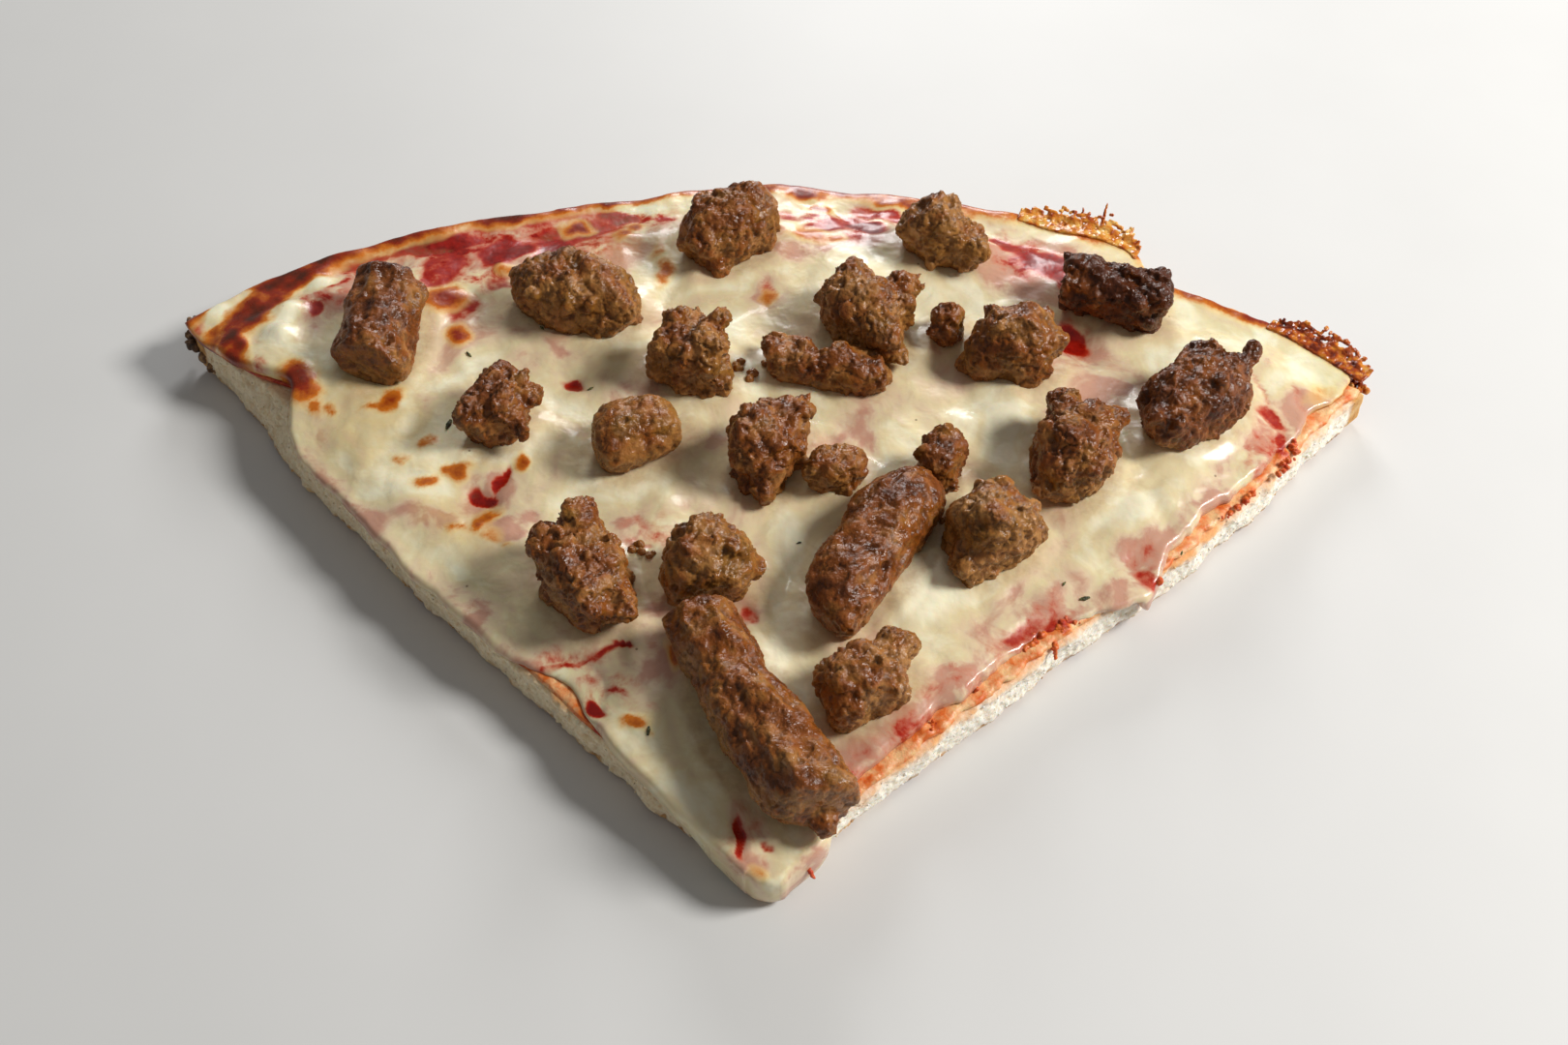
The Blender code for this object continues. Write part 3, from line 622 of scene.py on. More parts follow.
def makeFleckMaterial():
    material, tree, shader, places = newMaterial("driedHerb")
    stops = ((0.35, fleckLook["dark"]), (0.65, fleckLook["light"]))
    colour = rampNode(tree, noiseNode(tree, places, 1.2, 3.0), stops)
    setInputs(tree, shader, {
        "Base Color": colour, "Roughness": fleckLook["roughness"],
        "Normal": bumpNode(tree, noiseNode(tree, places, 0.3, 3.0), 0.1),
    })
    return material


crustLook = {
    "burnt": (0.028, 0.011, 0.004), "brown": (0.15, 0.062, 0.016), "pale": (0.42, 0.235, 0.085),
    "roughness": 0.62,
}


def makeCrustMaterial():
    material, tree, shader, places = newMaterial("burntCrust")
    grain = noiseNode(tree, places, 1.8, 5.0, 0.66)
    stops = ((0.36, crustLook["burnt"]), (0.5, crustLook["brown"]), (0.66, crustLook["pale"]))
    setInputs(tree, shader, {
        "Base Color": rampNode(tree, grain, stops), "Roughness": crustLook["roughness"],
        "Normal": bumpNode(tree, grain, 0.4),
    })
    return material


crispLook = {
    "burnt": (0.13, 0.014, 0.002), "rust": (0.38, 0.065, 0.006), "orange": (0.66, 0.24, 0.025),
    "pale": (0.80, 0.50, 0.14), "roughness": 0.24, "scatter": 0.3, "scatterReach": (1.2, 0.5, 0.2),
}


def makeCrispMaterial():
    look = crispLook
    material, tree, shader, places = newMaterial("crispCheese")
    cells = cellNode(tree, places, 1.7)
    tone = add(tree, noiseNode(tree, places, 3.0, 4.0), multiply(tree, cells, -0.3))
    tone = add(tree, tone, subtract(tree, fieldNode(tree, "depth"), 0.5))
    stops = ((0.20, look["burnt"]), (0.34, look["rust"]), (0.5, look["orange"]), (0.68, look["pale"]))
    colour = rampNode(tree, tone, stops)
    setInputs(tree, shader, {
        "Base Color": colour, "Roughness": look["roughness"], **glow(look),
        "Normal": bumpNode(tree, cells, 0.4),
    })
    return material


cheeseMaterial = makeCheeseMaterial()
doughMaterial = makeDoughMaterial()
sauceMaterial = makeSauceMaterial()
sausageMaterial = makeSausageMaterial()
fleckMaterial = makeFleckMaterial()
crispMaterial = makeCrispMaterial()
crustMaterial = makeCrustMaterial()
print("materials made")

# Patches in plan, in this and the next tables: x, y, half length, half width, turn, strength
# Where sauce breaks through the cheese
redPatches = (
    (-61, -7, 3.6, 2.1, -13, 1), (-57, -2, 3.7, 1, 72, 0.85), (-44, 26, 3, 1.6, -28, 0.85),
    (-1, 54, 3.6, 1.7, 76, 0.55), (68, 39, 5.8, 3.2, -61, 0.85), (-34, -59, 2.9, 1.6, -42, 1),
    (-37, -48, 7.8, 0.9, 12, 0.6), (-31, -46, 4, 0.7, 7, 0.85), (-42, -49, 4.8, 1, 14, 0.5),
    (-29, -45, 1.9, 0.5, 7, 0.9), (51, -42, 5.8, 2.2, 34, 0.55), (58, -39, 3.5, 2.2, 38, 0.6),
    (-5, -86, 4.6, 1.1, -78, 0.75), (0, -88, 1.7, 1, -14, 0.55), (-4, -38, 2.2, 1.3, -47, 0.55),
    (-27, -14, 2.6, 1.2, -30, 0.4), (-26, -20, 1.9, 0.8, -33, 0.4), (110, 15, 3.4, 2.2, -57, 0.7),
    (111, 8, 3.8, 1.4, -87, 0.7), (109, 23, 6.7, 0.7, -71, 0.35), (101, -6, 9, 0.7, 46, 0.5),
    (77, -28, 3, 2.2, -34, 0.6), (-77, 64, 9.5, 5.2, 78, 0.72), (-48, 76, 12, 4.6, 18, 0.8),
    (-64, 69, 7.2, 5.4, 36, 0.85), (-52, 69, 5.4, 3.4, 56, 1), (-60, 69, 4.4, 3, 40, 1),
    (-80, 72, 12, 3.4, -170, 0.9), (-37, 82, 6, 2.6, -10, 0.9), (-71, 49, 5.4, 3.4, -110, 0.62),
    (-97, 66, 8, 1.8, 24, 0.7), (-62, 58, 5, 2.6, 10, 0.55), (-105, 49, 2.8, 2.1, 86, 0.78),
    (-91, 45, 1.2, 0.9, 0, 0.8), (22, 77, 5.6, 2.2, -15, 1), (12, 76, 6, 2, 10, 0.8),
    (26, 82, 7.3, 2.4, -19, 0.7), (16, 79, 6, 2.4, 13, 0.7), (66, 63, 10, 4.8, -40, 0.9),
    (71, 58, 4.6, 2.8, -40, 0.95), (58, 70, 7, 2.6, -28, 0.8), (2, 80, 6, 2, 0, 0.55),
    (19, -73, 3.2, 1.6, 29, 0.5), (31, -63, 5.8, 2, 34, 0.45), (-118, 29, 8, 1.7, 113, 0.95),
    (-113, 18, 6, 1.2, 122, 0.9), (72, 15, 1.9, 0.9, 49, 0.4), (86, 61, 3.2, 1.8, -50, 0.7),
    (117, 21, 4.4, 1.2, -78, 0.3), (12, -80, 3, 1, 30, 0.6),
)
# Thin cheese over sauce, which looks pink
pinkPatches = (
    (-70, -14, 7, 4.5, -15, 0.5), (-54, -15, 6, 3, 12, 0.6), (-23, -29, 14, 8, 0, 0.5),
    (39, -53, 8, 4, 44, 0.6), (-32, -48, 16, 7, 0, 0.5), (63, 62, 17, 10, -35, 0.9),
    (-55, 70, 26, 10, 12, 0.75), (-95, 60, 14, 6, 38, 0.7), (-5, -86, 9, 6, -60, 0.3),
    (25, -66, 18, 5, 38, 0.65), (56, -38, 14, 7, 38, 0.65), (78, -22, 9, 6, 40, 0.65),
    (104, 6, 16, 5, 60, 0.5), (10, 72, 24, 8, 0, 0.55), (-1, 54, 6, 4, 50, 0.5), (-44, 27, 8, 5, -20, 0.5),
    (-5, -38, 7, 4, -40, 0.5), (-28, -17, 5, 6, 0, 0.5), (112, 34, 7, 3, -50, 0.4),
    (72, 20, 12, 7, 20, 0.35), (-66, 46, 14, 8, 20, 0.25), (66, 38, 9, 7, -40, 0.6),
    (-61, -6, 7, 4.5, 20, 0.6), (20, 10, 16, 10, 0, 0.18), (-52, 34, 9, 6, 30, 0.35),
    (-60, -36, 14, 3, -46, 0.5), (0, 16, 12, 6, 0, 0.2), (118, 20, 8, 5, 30, 0.45),
    (-104, 45, 7, 5, 60, 0.5), (58, -16, 9, 6, 20, 0.35), (-30, 22, 8, 5, 0, 0.3),
    (30, 60, 12, 6, -20, 0.15),
)
# Where red veins run through thin cheese
marbledZones = (
    (-100, 60, 20, 8, 40, 0.9), (-64, 68, 34, 11, 14, 1), (-30, 79, 16, 6, 0, 0.8),
    (66, 62, 18, 8, -38, 1), (18, 77, 24, 6, -4, 0.8), (38, -54, 14, 5, 42, 0.6),
    (24, -68, 14, 5, 40, 0.8), (54, -40, 10, 5, 36, 0.7), (106, 6, 12, 4, 62, 0.6),
    (-36, -52, 14, 5, -30, 0.7), (-4, -86, 8, 5, -70, 0.3), (76, -24, 6, 4, 40, 0.6),
    (-118, 32, 14, 4, 110, 0.8), (-24, -17, 7, 6, -30, 0.5), (68, 40, 8, 6, -50, 0.5),
    (-72, 50, 10, 8, 20, 0.25),
)
# Browned blisters and baked edges
brownPatches = (
    (-84, 10, 20, 12, -30, 0.12), (-92, 26, 12, 8, 30, 0.10), (-66, -14, 12, 5, -40, 0.11),
    (-30, 70, 16, 8, 0, 0.08), (-105, 25, 5.4, 4.4, -40, 0.8), (-71, 40, 2.6, 2.8, 23, 0.66),
    (-75, 52, 4.6, 3.8, 23, 0.7), (-88, 18, 2.2, 1.2, 23, 0.42), (-84, 20, 4, 2.4, 49, 0.58),
    (-100, 18, 2.6, 1.6, -48, 0.5), (-96, 17, 2, 1.4, -43, 0.42), (-74, 7, 2.8, 2, 38, 0.42),
    (-60, -13, 4, 1.8, 43, 0.56), (-65, -15, 2.2, 1.4, 20, 0.46), (-67, -1, 2.8, 2.1, 32, 0.58),
    (-73, -4, 3, 1.4, 12, 0.5), (-79, 3, 2, 1.5, 20, 0.36), (-53, 2, 1.8, 1.8, 33, 0.6),
    (-58, -17, 2.6, 1.6, -36, 0.36), (-54, -20, 1.5, 1, 0, 0.34), (-26, -63, 2.8, 1.6, -20, 0.5),
    (-23, -66, 1.2, 0.9, 0, 0.3), (-19, -48, 3.6, 1.2, -71, 0.55), (-25, 61, 4.3, 2.3, 83, 0.46),
    (-27, 69, 3.4, 1.5, 81, 0.34), (-47, 78, 3.4, 2.4, -13, 0.72), (-36, 74, 2.4, 2.1, -9, 0.6),
    (-33, 77, 2.2, 2, -28, 0.6), (9, 73, 5, 2.5, -13, 0.5), (15, 72, 2, 1.4, -14, 0.5),
    (-1, 53, 2, 1.6, 76, 0.45), (12, 84, 3, 1.6, -8, 0.6), (-62, 62, 2.2, 1.6, 0, 0.4),
    (-113, 60, 14, 5.4, 48, 0.95), (-119, 49, 9.5, 4.8, 66, 0.95), (-122, 38, 9.7, 3, 107, 0.9),
    (-104, 69, 13, 3.6, 23, 0.9), (-88, 75, 12, 2.8, 16, 0.75), (-117, 60, 8, 2.4, 40, 0.6),
    (-127, 42, 6, 2.4, 100, 0.6), (-40, 87, 4, 2, -11, 0.85), (-51, 85, 3, 1.8, -8, 0.7),
    (-64, 82, 9, 2.8, 13, 0.92), (-4, 92, 7, 3.4, 7, 0.66), (8, 90, 5.2, 2.8, -9, 0.78),
    (30, 87, 8, 2.6, -12, 0.6), (52, 83, 14, 2.4, -12, 0.42), (124, 17, 8, 1.5, 36, 0.42),
    (122, 23, 4, 2, 36, 0.3), (-2, -93, 1.6, 1, 0, 0.3), (76, 75, 6, 3, -20, 0.7),
)
# Thick bright cheese
thickPatches = (
    (32, -34, 9, 6.5, 60, 1), (84, -4, 17, 8, 38, 1), (96, 10, 11, 6, 50, 0.8), (-12, 44, 9, 6, 20, 0.9),
    (-75, 4, 15, 10, -30, 0.9), (-58, -24, 12, 5, -40, 0.6), (-111, 45, 11, 2.6, 80, 1),
    (-106, 59, 6.1, 2.6, 32, 0.9), (-10, -80, 12, 5, -50, 0.5), (48, 14, 12, 7, 10, 0.7),
    (21, 56, 14, 7, -10, 0.6), (-40, -12, 10, 7, 0, 0.4), (112, 35, 12, 8, -40, 0.5),
    (-40, 32, 7, 6, 0, 0.4), (60, 22, 9, 5, -20, 0.5), (-20, -70, 10, 4, -50, 0.5),
    (-30, 52, 10, 5, 60, 0.6),
)
# Pale cheese lying over the baked edge
palePatches = (
    (-126, 51, 6.6, 2, 50, 1), (-128, 47, 4, 2, -106, 1), (-111, 44, 11, 2, 82, 1),
    (-105, 58, 6, 1.9, 32, 0.95), (-32, 85, 8, 1.6, -4, 0.8), (-56, 60, 6, 2, 15, 0.7),
    (-84, 60, 4, 2, 60, 0.6), (100, 58, 16, 3, -34, 0.6),
)


def patchField(places, patches, soft):
    # The strongest of several soft ellipses at each place
    field = np.zeros(len(places))
    for x, y, halfLength, halfWidth, turn, strength in patches:
        turn = math.radians(turn)
        offset = places - (x, y)
        along = (offset[:, 0] * math.cos(turn) + offset[:, 1] * math.sin(turn)) / halfLength
        across = (offset[:, 1] * math.cos(turn) - offset[:, 0] * math.sin(turn)) / halfWidth
        field = np.maximum(field, strength * (1.0 - ramp(np.hypot(along, across), 1.0 - soft, 2.0 * soft)))
    return field


def pushedPlaces(x, y, reach, size):
    return np.stack([x + reach * flatNoise(x, y, size, 3.3), y + reach * flatNoise(x, y, size, 8.1)], axis=1)


sausageNodes = sorted(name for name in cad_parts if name.startswith("sausage_"))


def footprints():
    # Middle and half sizes of each sausage piece on the cheese
    found = []
    for name in sausageNodes:
        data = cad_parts[name].data
        points = np.zeros(len(data.vertices) * 3)
        data.vertices.foreach_get("co", points)
        points = points.reshape(-1, 3)[:, :2] / mm
        middle = points.mean(axis=0)
        spread, axes = np.linalg.eigh(np.cov((points - middle).T))
        found.append((middle, axes, 1.75 * np.sqrt(spread)))
    return found


pieceFootprints = footprints()


def nearPieces(x, y, reach):
    # 1 under and beside a sausage piece, 0 past the reach from it
    near = np.zeros(len(x))
    places = np.stack([x, y], axis=1)
    for middle, axes, halves in pieceFootprints:
        local = (places - middle) @ axes
        distance = (np.hypot(local[:, 0] / halves[0], local[:, 1] / halves[1]) - 1.0) * halves.min()
        near = np.maximum(near, 1.0 - ramp(distance, 0.0, reach))
    return near


# Cheese
cheeseShape = {
    "columns": 316, "rows": 250, "shoulder": 1.5, "lobeHeight": 0.8, "lobeSize": 15.0, "rippleHeight": 0.2,
    "rippleSize": 4.6, "blisterRise": 0.5, "sauceDip": 0.5, "pieceRise": 0.75, "rightThinning": 1.3,
    "leftThinning": 1.1, "bareDip": 1.7, "leastLeft": 0.6, "lipThickness": 1.5, "bottomSpacing": 7.0,
}


def cheeseFields(points):
    x, y = points[:, 0], points[:, 1]
    radius, angle = polar(x, y)
    pushed = pushedPlaces(x, y, 1.6, 4.0)
    fromRim = rimRadius(angle) + plan["bakedOverhang"] - radius
    streaks = 0.5 + 0.5 * flatNoise(x, y, 5.5, 21.0)
    redRim = (1.0 - ramp(fromRim, 2.0, 11.0)) * ramp(-angle, 4.0, 14.0) * (0.25 + 0.9 * streaks)
    bakedRim = (1.0 - ramp(fromRim, 0.5, 4.5)) * (0.35 + 0.5 * streaks)
    lip = smoothStep((cheeseBottom(x, y) + 0.8 - points[:, 2]) / 1.5) * ramp(radius, 150.0, 25.0)
    red = np.maximum(patchField(pushed, redPatches, 0.35), 0.85 * redRim)
    brown = patchField(pushed, brownPatches, 0.75)
    blotched = ramp(-x, 82.0, 8.0) * ramp(y, 30.0, 8.0)
    brown = brown * (1.0 + blotched * (0.55 * flatNoise(x, y, 4.0, 27.0) - 0.12))
    brown = np.maximum(brown, np.maximum(bakedRim, 0.8 * lip))
    pink = np.maximum(patchField(pushed, pinkPatches, 0.7), 0.5 * redRim)
    fromLeft, fromRight = fromSides(x, y)
    edge = ramp(angle, 30.0, 12.0) * (1.0 - ramp(fromRight, 1.0, 7.0))
    pink = np.maximum(pink, 0.55 * edge)
    marbled = np.maximum(patchField(pushed, marbledZones, 0.5), 0.9 * redRim)
    pink = np.maximum(pink, 0.4 * (1.0 - ramp(fromLeft, 0.0, 3.5)) * ramp(radius, 30.0, 20.0))
    uncovered = 1.0 - patchField(pushedPlaces(x, y, 0.9, 5.0), palePatches, 0.25)
    red, brown, marbled, pink = (field * uncovered for field in (red, brown, marbled, pink))
    # The field beside the sausage pieces is partly meat fat and partly painted contact shade
    return {
        "redness": red, "pinkness": pink, "browning": brown, "marbling": marbled,
        "thickness": patchField(pushed, thickPatches, 0.7), "grease": nearPieces(x, y, 3.0),
    }


def lobes(places, size):
    # Soft domes with creases between them, from about -1 to 1
    sharpness = 9.0
    found = []
    for x, y in (places / size).tolist():
        distances = noise.voronoi((x, y, 0.0))[0]
        found.append(sum(math.exp(-sharpness * distance) for distance in distances))
    return 1.0 + 2.0 * np.clip(np.log(np.array(found)) / sharpness, -1.0, 0.0)


def cheeseTop(x, y):
    shape = cheeseShape
    radius = polar(x, y)[0]
    height = cheeseLevel(x, y)
    pushed = pushedPlaces(x, y, 5.0, 14.0)
    height += shape["lobeHeight"] * lobes(pushed, shape["lobeSize"])
    height += 0.3 * shape["lobeHeight"] * lobes(pushed, 0.45 * shape["lobeSize"])
    height += shape["rippleHeight"] * flatNoise(pushed[:, 0], pushed[:, 1], shape["rippleSize"], 9.0)
    near = pushedPlaces(x, y, 1.0, 4.0)
    height += shape["blisterRise"] * patchField(near, brownPatches, 0.6)
    height -= shape["sauceDip"] * patchField(near, redPatches, 0.5)
    height += shape["pieceRise"] * nearPieces(x, y, 4.0)
    fromLeft, fromRight = fromSides(x, y)
    beyondTip = ramp(radius, 30.0, 20.0)
    height -= shape["rightThinning"] * (1.0 - ramp(fromRight, 1.0, 9.0)) * beyondTip
    height -= shape["leftThinning"] * (1.0 - ramp(fromLeft, 1.0, 9.0)) * beyondTip
    bare = hump(radius, plan["bareRadius"], plan["bareSpread"]) * (1.0 - ramp(fromLeft, 6.0, 8.0))
    height -= shape["bareDip"] * bare
    return np.maximum(height, cheeseBottom(x, y) + shape["leastLeft"])


def lipDrop(x, y):
    radius, angle = polar(x, y)
    drape = 1.0 - ramp(radius, 10.0, 18.0)
    fold = 0.75 * hump(radius, plan["foldRadius"], 4.5) * ramp(angle, 40.0, 4.0)
    clear = ramp(overhangAt(x, y), 1.7, 0.5)
    runs = 0.12 * ramp(flatNoise(x, y, 16.0, 41.0), 0.1, 0.4) * ramp(-angle, 20.0, 10.0)
    drop = np.maximum(np.maximum(drape, fold) * clear, runs) * (cheeseBottom(x, y) - heights["lip"])
    return np.maximum(drop, heights["gap"] + 0.1)


def buildCheese():
    shape = cheeseShape
    shoulder = shape["shoulder"]
    grid = layerGrid(
        lambda radius: leftOverhang(radius) - shoulder, lambda radius: rightOverhang(radius) - shoulder,
        lambda angle: rimOverhang(angle) - shoulder, shoulder, shape["columns"], shape["rows"],
    )
    rows, columns = grid.shape[:2]
    flat = grid.reshape(-1, 2)
    index = np.arange(rows * columns).reshape(rows, columns)
    quads = np.stack([index[:-1, :-1], index[:-1, 1:], index[1:, 1:], index[1:, :-1]], axis=-1).reshape(-1, 4)
    top = np.column_stack([flat, cheeseTop(flat[:, 0], flat[:, 1])])
    border = borderIndexes(rows, columns)
    edge = top[border]
    normals = outwardNormals(edge[:, :2], 5)
    x, y = edge[:, 0] + normals[:, 0] * shoulder, edge[:, 1] + normals[:, 1] * shoulder
    radius, angle = polar(x, y)
    onRight = ramp(angle, 30.0, 10.0)
    ragged = flatNoise(x, y, 5.0, 61.0) + 0.6 * flatNoise(x, y, 2.0, 62.0)
    ragged = ragged * (0.25 + 0.75 * onRight * ramp(radius, 25.0, 15.0))
    bottom = cheeseBottom(x, y)
    lip = bottom - lipDrop(x, y)
    inward = np.maximum(overhangAt(x, y) - heights["gap"] - 0.1, 0.3)
    thick = np.minimum(edge[:, 2] - bottom, shape["lipThickness"])
    # How far in, how far down the edge, and how far down its lip each ring lies, as shares
    profile = (
        (0.72, 0.05, 0.0), (0.45, 0.18, 0.0), (0.24, 0.38, 0.0), (0.08, 0.66, 0.0), (0.0, 1.0, 0.0),
        (0.0, 1.0, 0.35), (0.02, 1.0, 0.7), (0.12, 1.0, 0.92), (0.35, 1.0, 1.0),
    )
    rings = []
    for inset, drop, down in profile:
        high = edge[:, 2] - thick * drop
        height = high + (np.minimum(lip, high - 0.15) - high) * down
        out = shoulder * (1.0 - inset) + ragged * (1.0 - inset)
        rings.append(ringBeside(edge, normals, out, height))
    for share, height in ((0.6, lip + 0.02), (1.0, lip + 0.1), (1.05, bottom)):
        out = shoulder - np.maximum(inward * share, 0.4)
        height = np.minimum(height, rings[-1][:, 2] + 0.02) if share < 1.0 else height
        rings.append(ringBeside(edge, normals, out, height))
    return buildSlab(
        "meltedCheese", top, quads.tolist(), border, rings, cheeseBottom, shape["bottomSpacing"],
        cheeseMaterial, cheeseFields,
    )


# Dough
doughShape = {
    "outlineSpacing": 0.46, "rings": 27, "topSpacing": 6.0, "pore": 1.7, "poreDepth": 0.3, "tear": 0.8,
    "tearSize": 4.2, "fluff": 0.3, "fluffSize": 1.2, "shoulder": 0.8, "inset": 0.1, "foot": 1.3,
}


def crumbRelief(points, crust):
    # Outward relief of a torn bread side, calmer on the baked rim
    shape = doughShape
    stretched = points * (1.0, 1.0, 1.5)
    torn = shape["tear"] * noiseOn(points, shape["tearSize"], 4.0)
    torn = torn + shape["fluff"] * noiseOn(points, shape["fluffSize"], 9.0)
    holes = [noise.voronoi(point)[0][0] for point in (stretched / shape["pore"]).tolist()]
    depth = shape["poreDepth"] * (1.0 + 2.6 * ramp(-points[:, 0], 0.0, 20.0))
    torn = torn - depth * (1.0 - ramp(np.array(holes), 0.1, 0.45))
    baked = 0.5 * noiseOn(points, 9.0, 2.0) + 0.2 * noiseOn(points, 2.6, 6.0)
    return torn * (1.0 - crust) + baked * crust


def rimShare(x, y):
    # 1 on the baked rim and 0 on the cut sides
    radius, angle = polar(x, y)
    return ramp(radius, rimRadius(angle) - 6.0, 4.0)


def doughFields(points):
    x, y, z = points.T
    angle = polar(x, y)[1]
    crust = rimShare(x, y)
    top = crumbTop(x, y)
    ragged = noiseOn(points, 3.0, 12.0)
    underside = 1.0 - ramp(z + 0.8 * ragged, 0.9, 1.5)
    fromTop = top - z + 1.1 * ragged
    onRight = ramp(angle, 20.0, 20.0)
    reach = 1.3 + onRight * (1.6 + 2.4 * noiseOn(points * (1.0, 1.0, 0.0), 7.0, 15.0))
    soaked = (1.0 - ramp(fromTop, 0.0, np.maximum(reach, 0.5))) * (0.4 + 0.6 * onRight)
    bare = bareShare(x, y)
    soaked = np.maximum(soaked, bare * (1.0 - ramp(top - z, 0.1, 0.6)))
    side = (1.0 - crust) * (1.0 - ramp(z, top - 1.2, 0.8)) * ramp(z, 0.4, 0.8)
    # One field marks the left cut, whose crumb takes a painted shade tint
    return {
        "browned": np.maximum(0.8 * underside, crust), "soaked": soaked, "crumbSide": side,
        "leftSide": ramp(-x, -5.0, 20.0),
    }


def buildDough():
    shape = doughShape
    gridSize = 240
    grid = layerGrid(np.zeros_like, np.zeros_like, np.zeros_like, plan["tipDrape"], gridSize, gridSize)
    outline = resample(grid.reshape(-1, 2)[borderIndexes(gridSize, gridSize)], shape["outlineSpacing"])
    normals = outwardNormals(outline, 4)
    x, y = outline.T
    top = crumbTop(x, y)
    radius, angle = polar(x, y)
    onLeft = ramp(-angle, 30.0, 8.0)
    lean = -plan["tornDepth"] * hump(radius, plan["tornRadius"], plan["tornSpread"]) * onLeft
    crust = rimShare(x, y)
    steps = np.linspace(0.0, 1.0, shape["rings"])
    rings = []
    # Insets and levels at five heights from the top edge down, with the rings set between them
    keys = (0.0, 0.12, 0.5, 0.88, 1.0)
    zero = np.zeros(len(x))
    shoulder, inset, foot = shape["shoulder"], shape["inset"], shape["foot"]
    insets = (shoulder + zero, inset + zero, inset + 0.6 * lean, inset + lean, foot + lean)
    levels = (top - 0.14, top - shoulder, 0.55 * top, foot + zero, zero)
    for step in steps:
        after = max(1, min(int(np.searchsorted(keys, step, side="left")), 4))
        share = (step - keys[after - 1]) / (keys[after] - keys[after - 1])
        inward = insets[after - 1] + (insets[after] - insets[after - 1]) * share
        level = levels[after - 1] + (levels[after] - levels[after - 1]) * share
        side = ringBeside(outline, normals, -inward, level)
        push = crumbRelief(side, crust) * (0.3 if step == 0.0 else 1.0) * (0.0 if step == 1.0 else 1.0)
        side[:, :2] += normals * push[:, None]
        rings.append(side)
    first = rings[0]
    flat, triangles = fillOutline(first[:, :2], shape["topSpacing"], 6.0, 1.2)
    heightsTop = crumbTop(flat[:, 0], flat[:, 1])
    heightsTop[:len(first)] = first[:, 2]
    topPoints = np.column_stack([flat, heightsTop])
    faces = turnFaces(flat, triangles, 1)
    border = np.arange(len(first))
    return buildSlab(
        "doughBase", topPoints, faces, border, rings[1:], lambda x, y: 0.0 * x, shape["topSpacing"],
        doughMaterial, doughFields,
    )


# Sauce
sauceShape = {
    "outlineSpacing": 0.7, "bottomSpacing": 8.0, "spacing": 6.0, "band": 8.0, "bandSpacing": 0.85,
    "lump": 0.35, "lumpSize": 2.6, "blobRise": 1.4,
}


def sauceFields(points):
    x, y = points[:, 0], points[:, 1]
    pushed = pushedPlaces(x, y, 1.4, 3.0)
    angle = polar(x, y)[1]
    bare = bareShare(x, y)
    atLeft = 0.5 * ramp(-angle, 10.0, 20.0) * (1.0 - bare)
    depth = -0.02 + 0.6 * (0.5 + 0.5 * flatNoise(x, y, 4.5, 51.0)) + atLeft
    return {"depth": np.maximum(depth, 1.1 * patchField(pushed, redPatches, 0.5))}


def buildSauce():
    shape = sauceShape
    gridSize = 260
    grid = layerGrid(
        lambda radius: -4.0 * hump(radius, plan["tornRadius"], 8.0) - 0.9,
        lambda radius: wave(1.1, 5.0, radius, 8.8) + wave(0.6, 1.8, radius, 2.8) - 0.7,
        lambda angle: 0.0 * angle - 1.5, plan["tipDrape"] + 1.2, gridSize, gridSize,
    )
    outline = resample(grid.reshape(-1, 2)[borderIndexes(gridSize, gridSize)], shape["outlineSpacing"])
    normals = outwardNormals(outline, 4)
    inner = outline - 0.55 * normals
    flat, triangles = fillOutline(inner, shape["spacing"], shape["band"], shape["bandSpacing"])
    x, y = flat.T
    near = pushedPlaces(x, y, 1.4, 3.0)
    level = sauceTop(x, y) + shape["lump"] * flatNoise(x, y, shape["lumpSize"], 71.0)
    atRight = ramp(polar(x, y)[1], 34.0, 6.0)
    bubbly = 0.6 + 0.8 * flatNoise(x, y, 1.8, 5.0)
    level = level + shape["blobRise"] * atRight * patchField(near, redPatches, 0.6) * bubbly
    topPoints = np.column_stack([flat, level])
    faces = turnFaces(flat, triangles, 1)
    count = len(outline)
    low = doughTop(outline[:, 0], outline[:, 1])
    middle = 0.5 * (topPoints[:count, 2] + low)
    rings = [np.column_stack([outline, middle]), np.column_stack([inner, low + 0.05])]
    return buildSlab(
        "tomatoSauce", topPoints, faces, np.arange(count), rings, lambda x, y: doughTop(x, y) + 0.05,
        shape["bottomSpacing"], sauceMaterial, sauceFields,
    )


dough = buildDough()
print("dough built", len(dough.data.polygons))
sauce = buildSauce()
print("sauce built", len(sauce.data.polygons))
cheese = buildCheese()
print("cheese built", len(cheese.data.polygons))


# Geometry node trees
def newTree(name, inputs):
    tree = bpy.data.node_groups.new(name, "GeometryNodeTree")
    tree.interface.new_socket("Geometry", in_out="INPUT", socket_type="NodeSocketGeometry")
    for label, kind, value in inputs:
        socket = tree.interface.new_socket(label, in_out="INPUT", socket_type="NodeSocket" + kind)
        if value is not None:
            socket.default_value = value
    tree.interface.new_socket("Geometry", in_out="OUTPUT", socket_type="NodeSocketGeometry")
    return tree, tree.nodes.new("NodeGroupInput").outputs


def finishTree(tree, result, material):
    realized = addNode(tree, "GeometryNodeRealizeInstances", None, {"Geometry": result}).outputs[0]
    shaded = addNode(tree, "GeometryNodeSetMaterial", None, {"Geometry": realized, "Material": material})
    output = tree.nodes.new("NodeGroupOutput")
    tree.links.new(shaded.outputs[0], output.inputs[0])
    return tree


def addTree(piece, tree, values):
    modifier = piece.modifiers.new(tree.name, "NODES")
    modifier.node_group = tree
    for item in tree.interface.items_tree:
        if item.in_out == "INPUT" and item.name in values:
            modifier[item.identifier] = values[item.name]
    return modifier


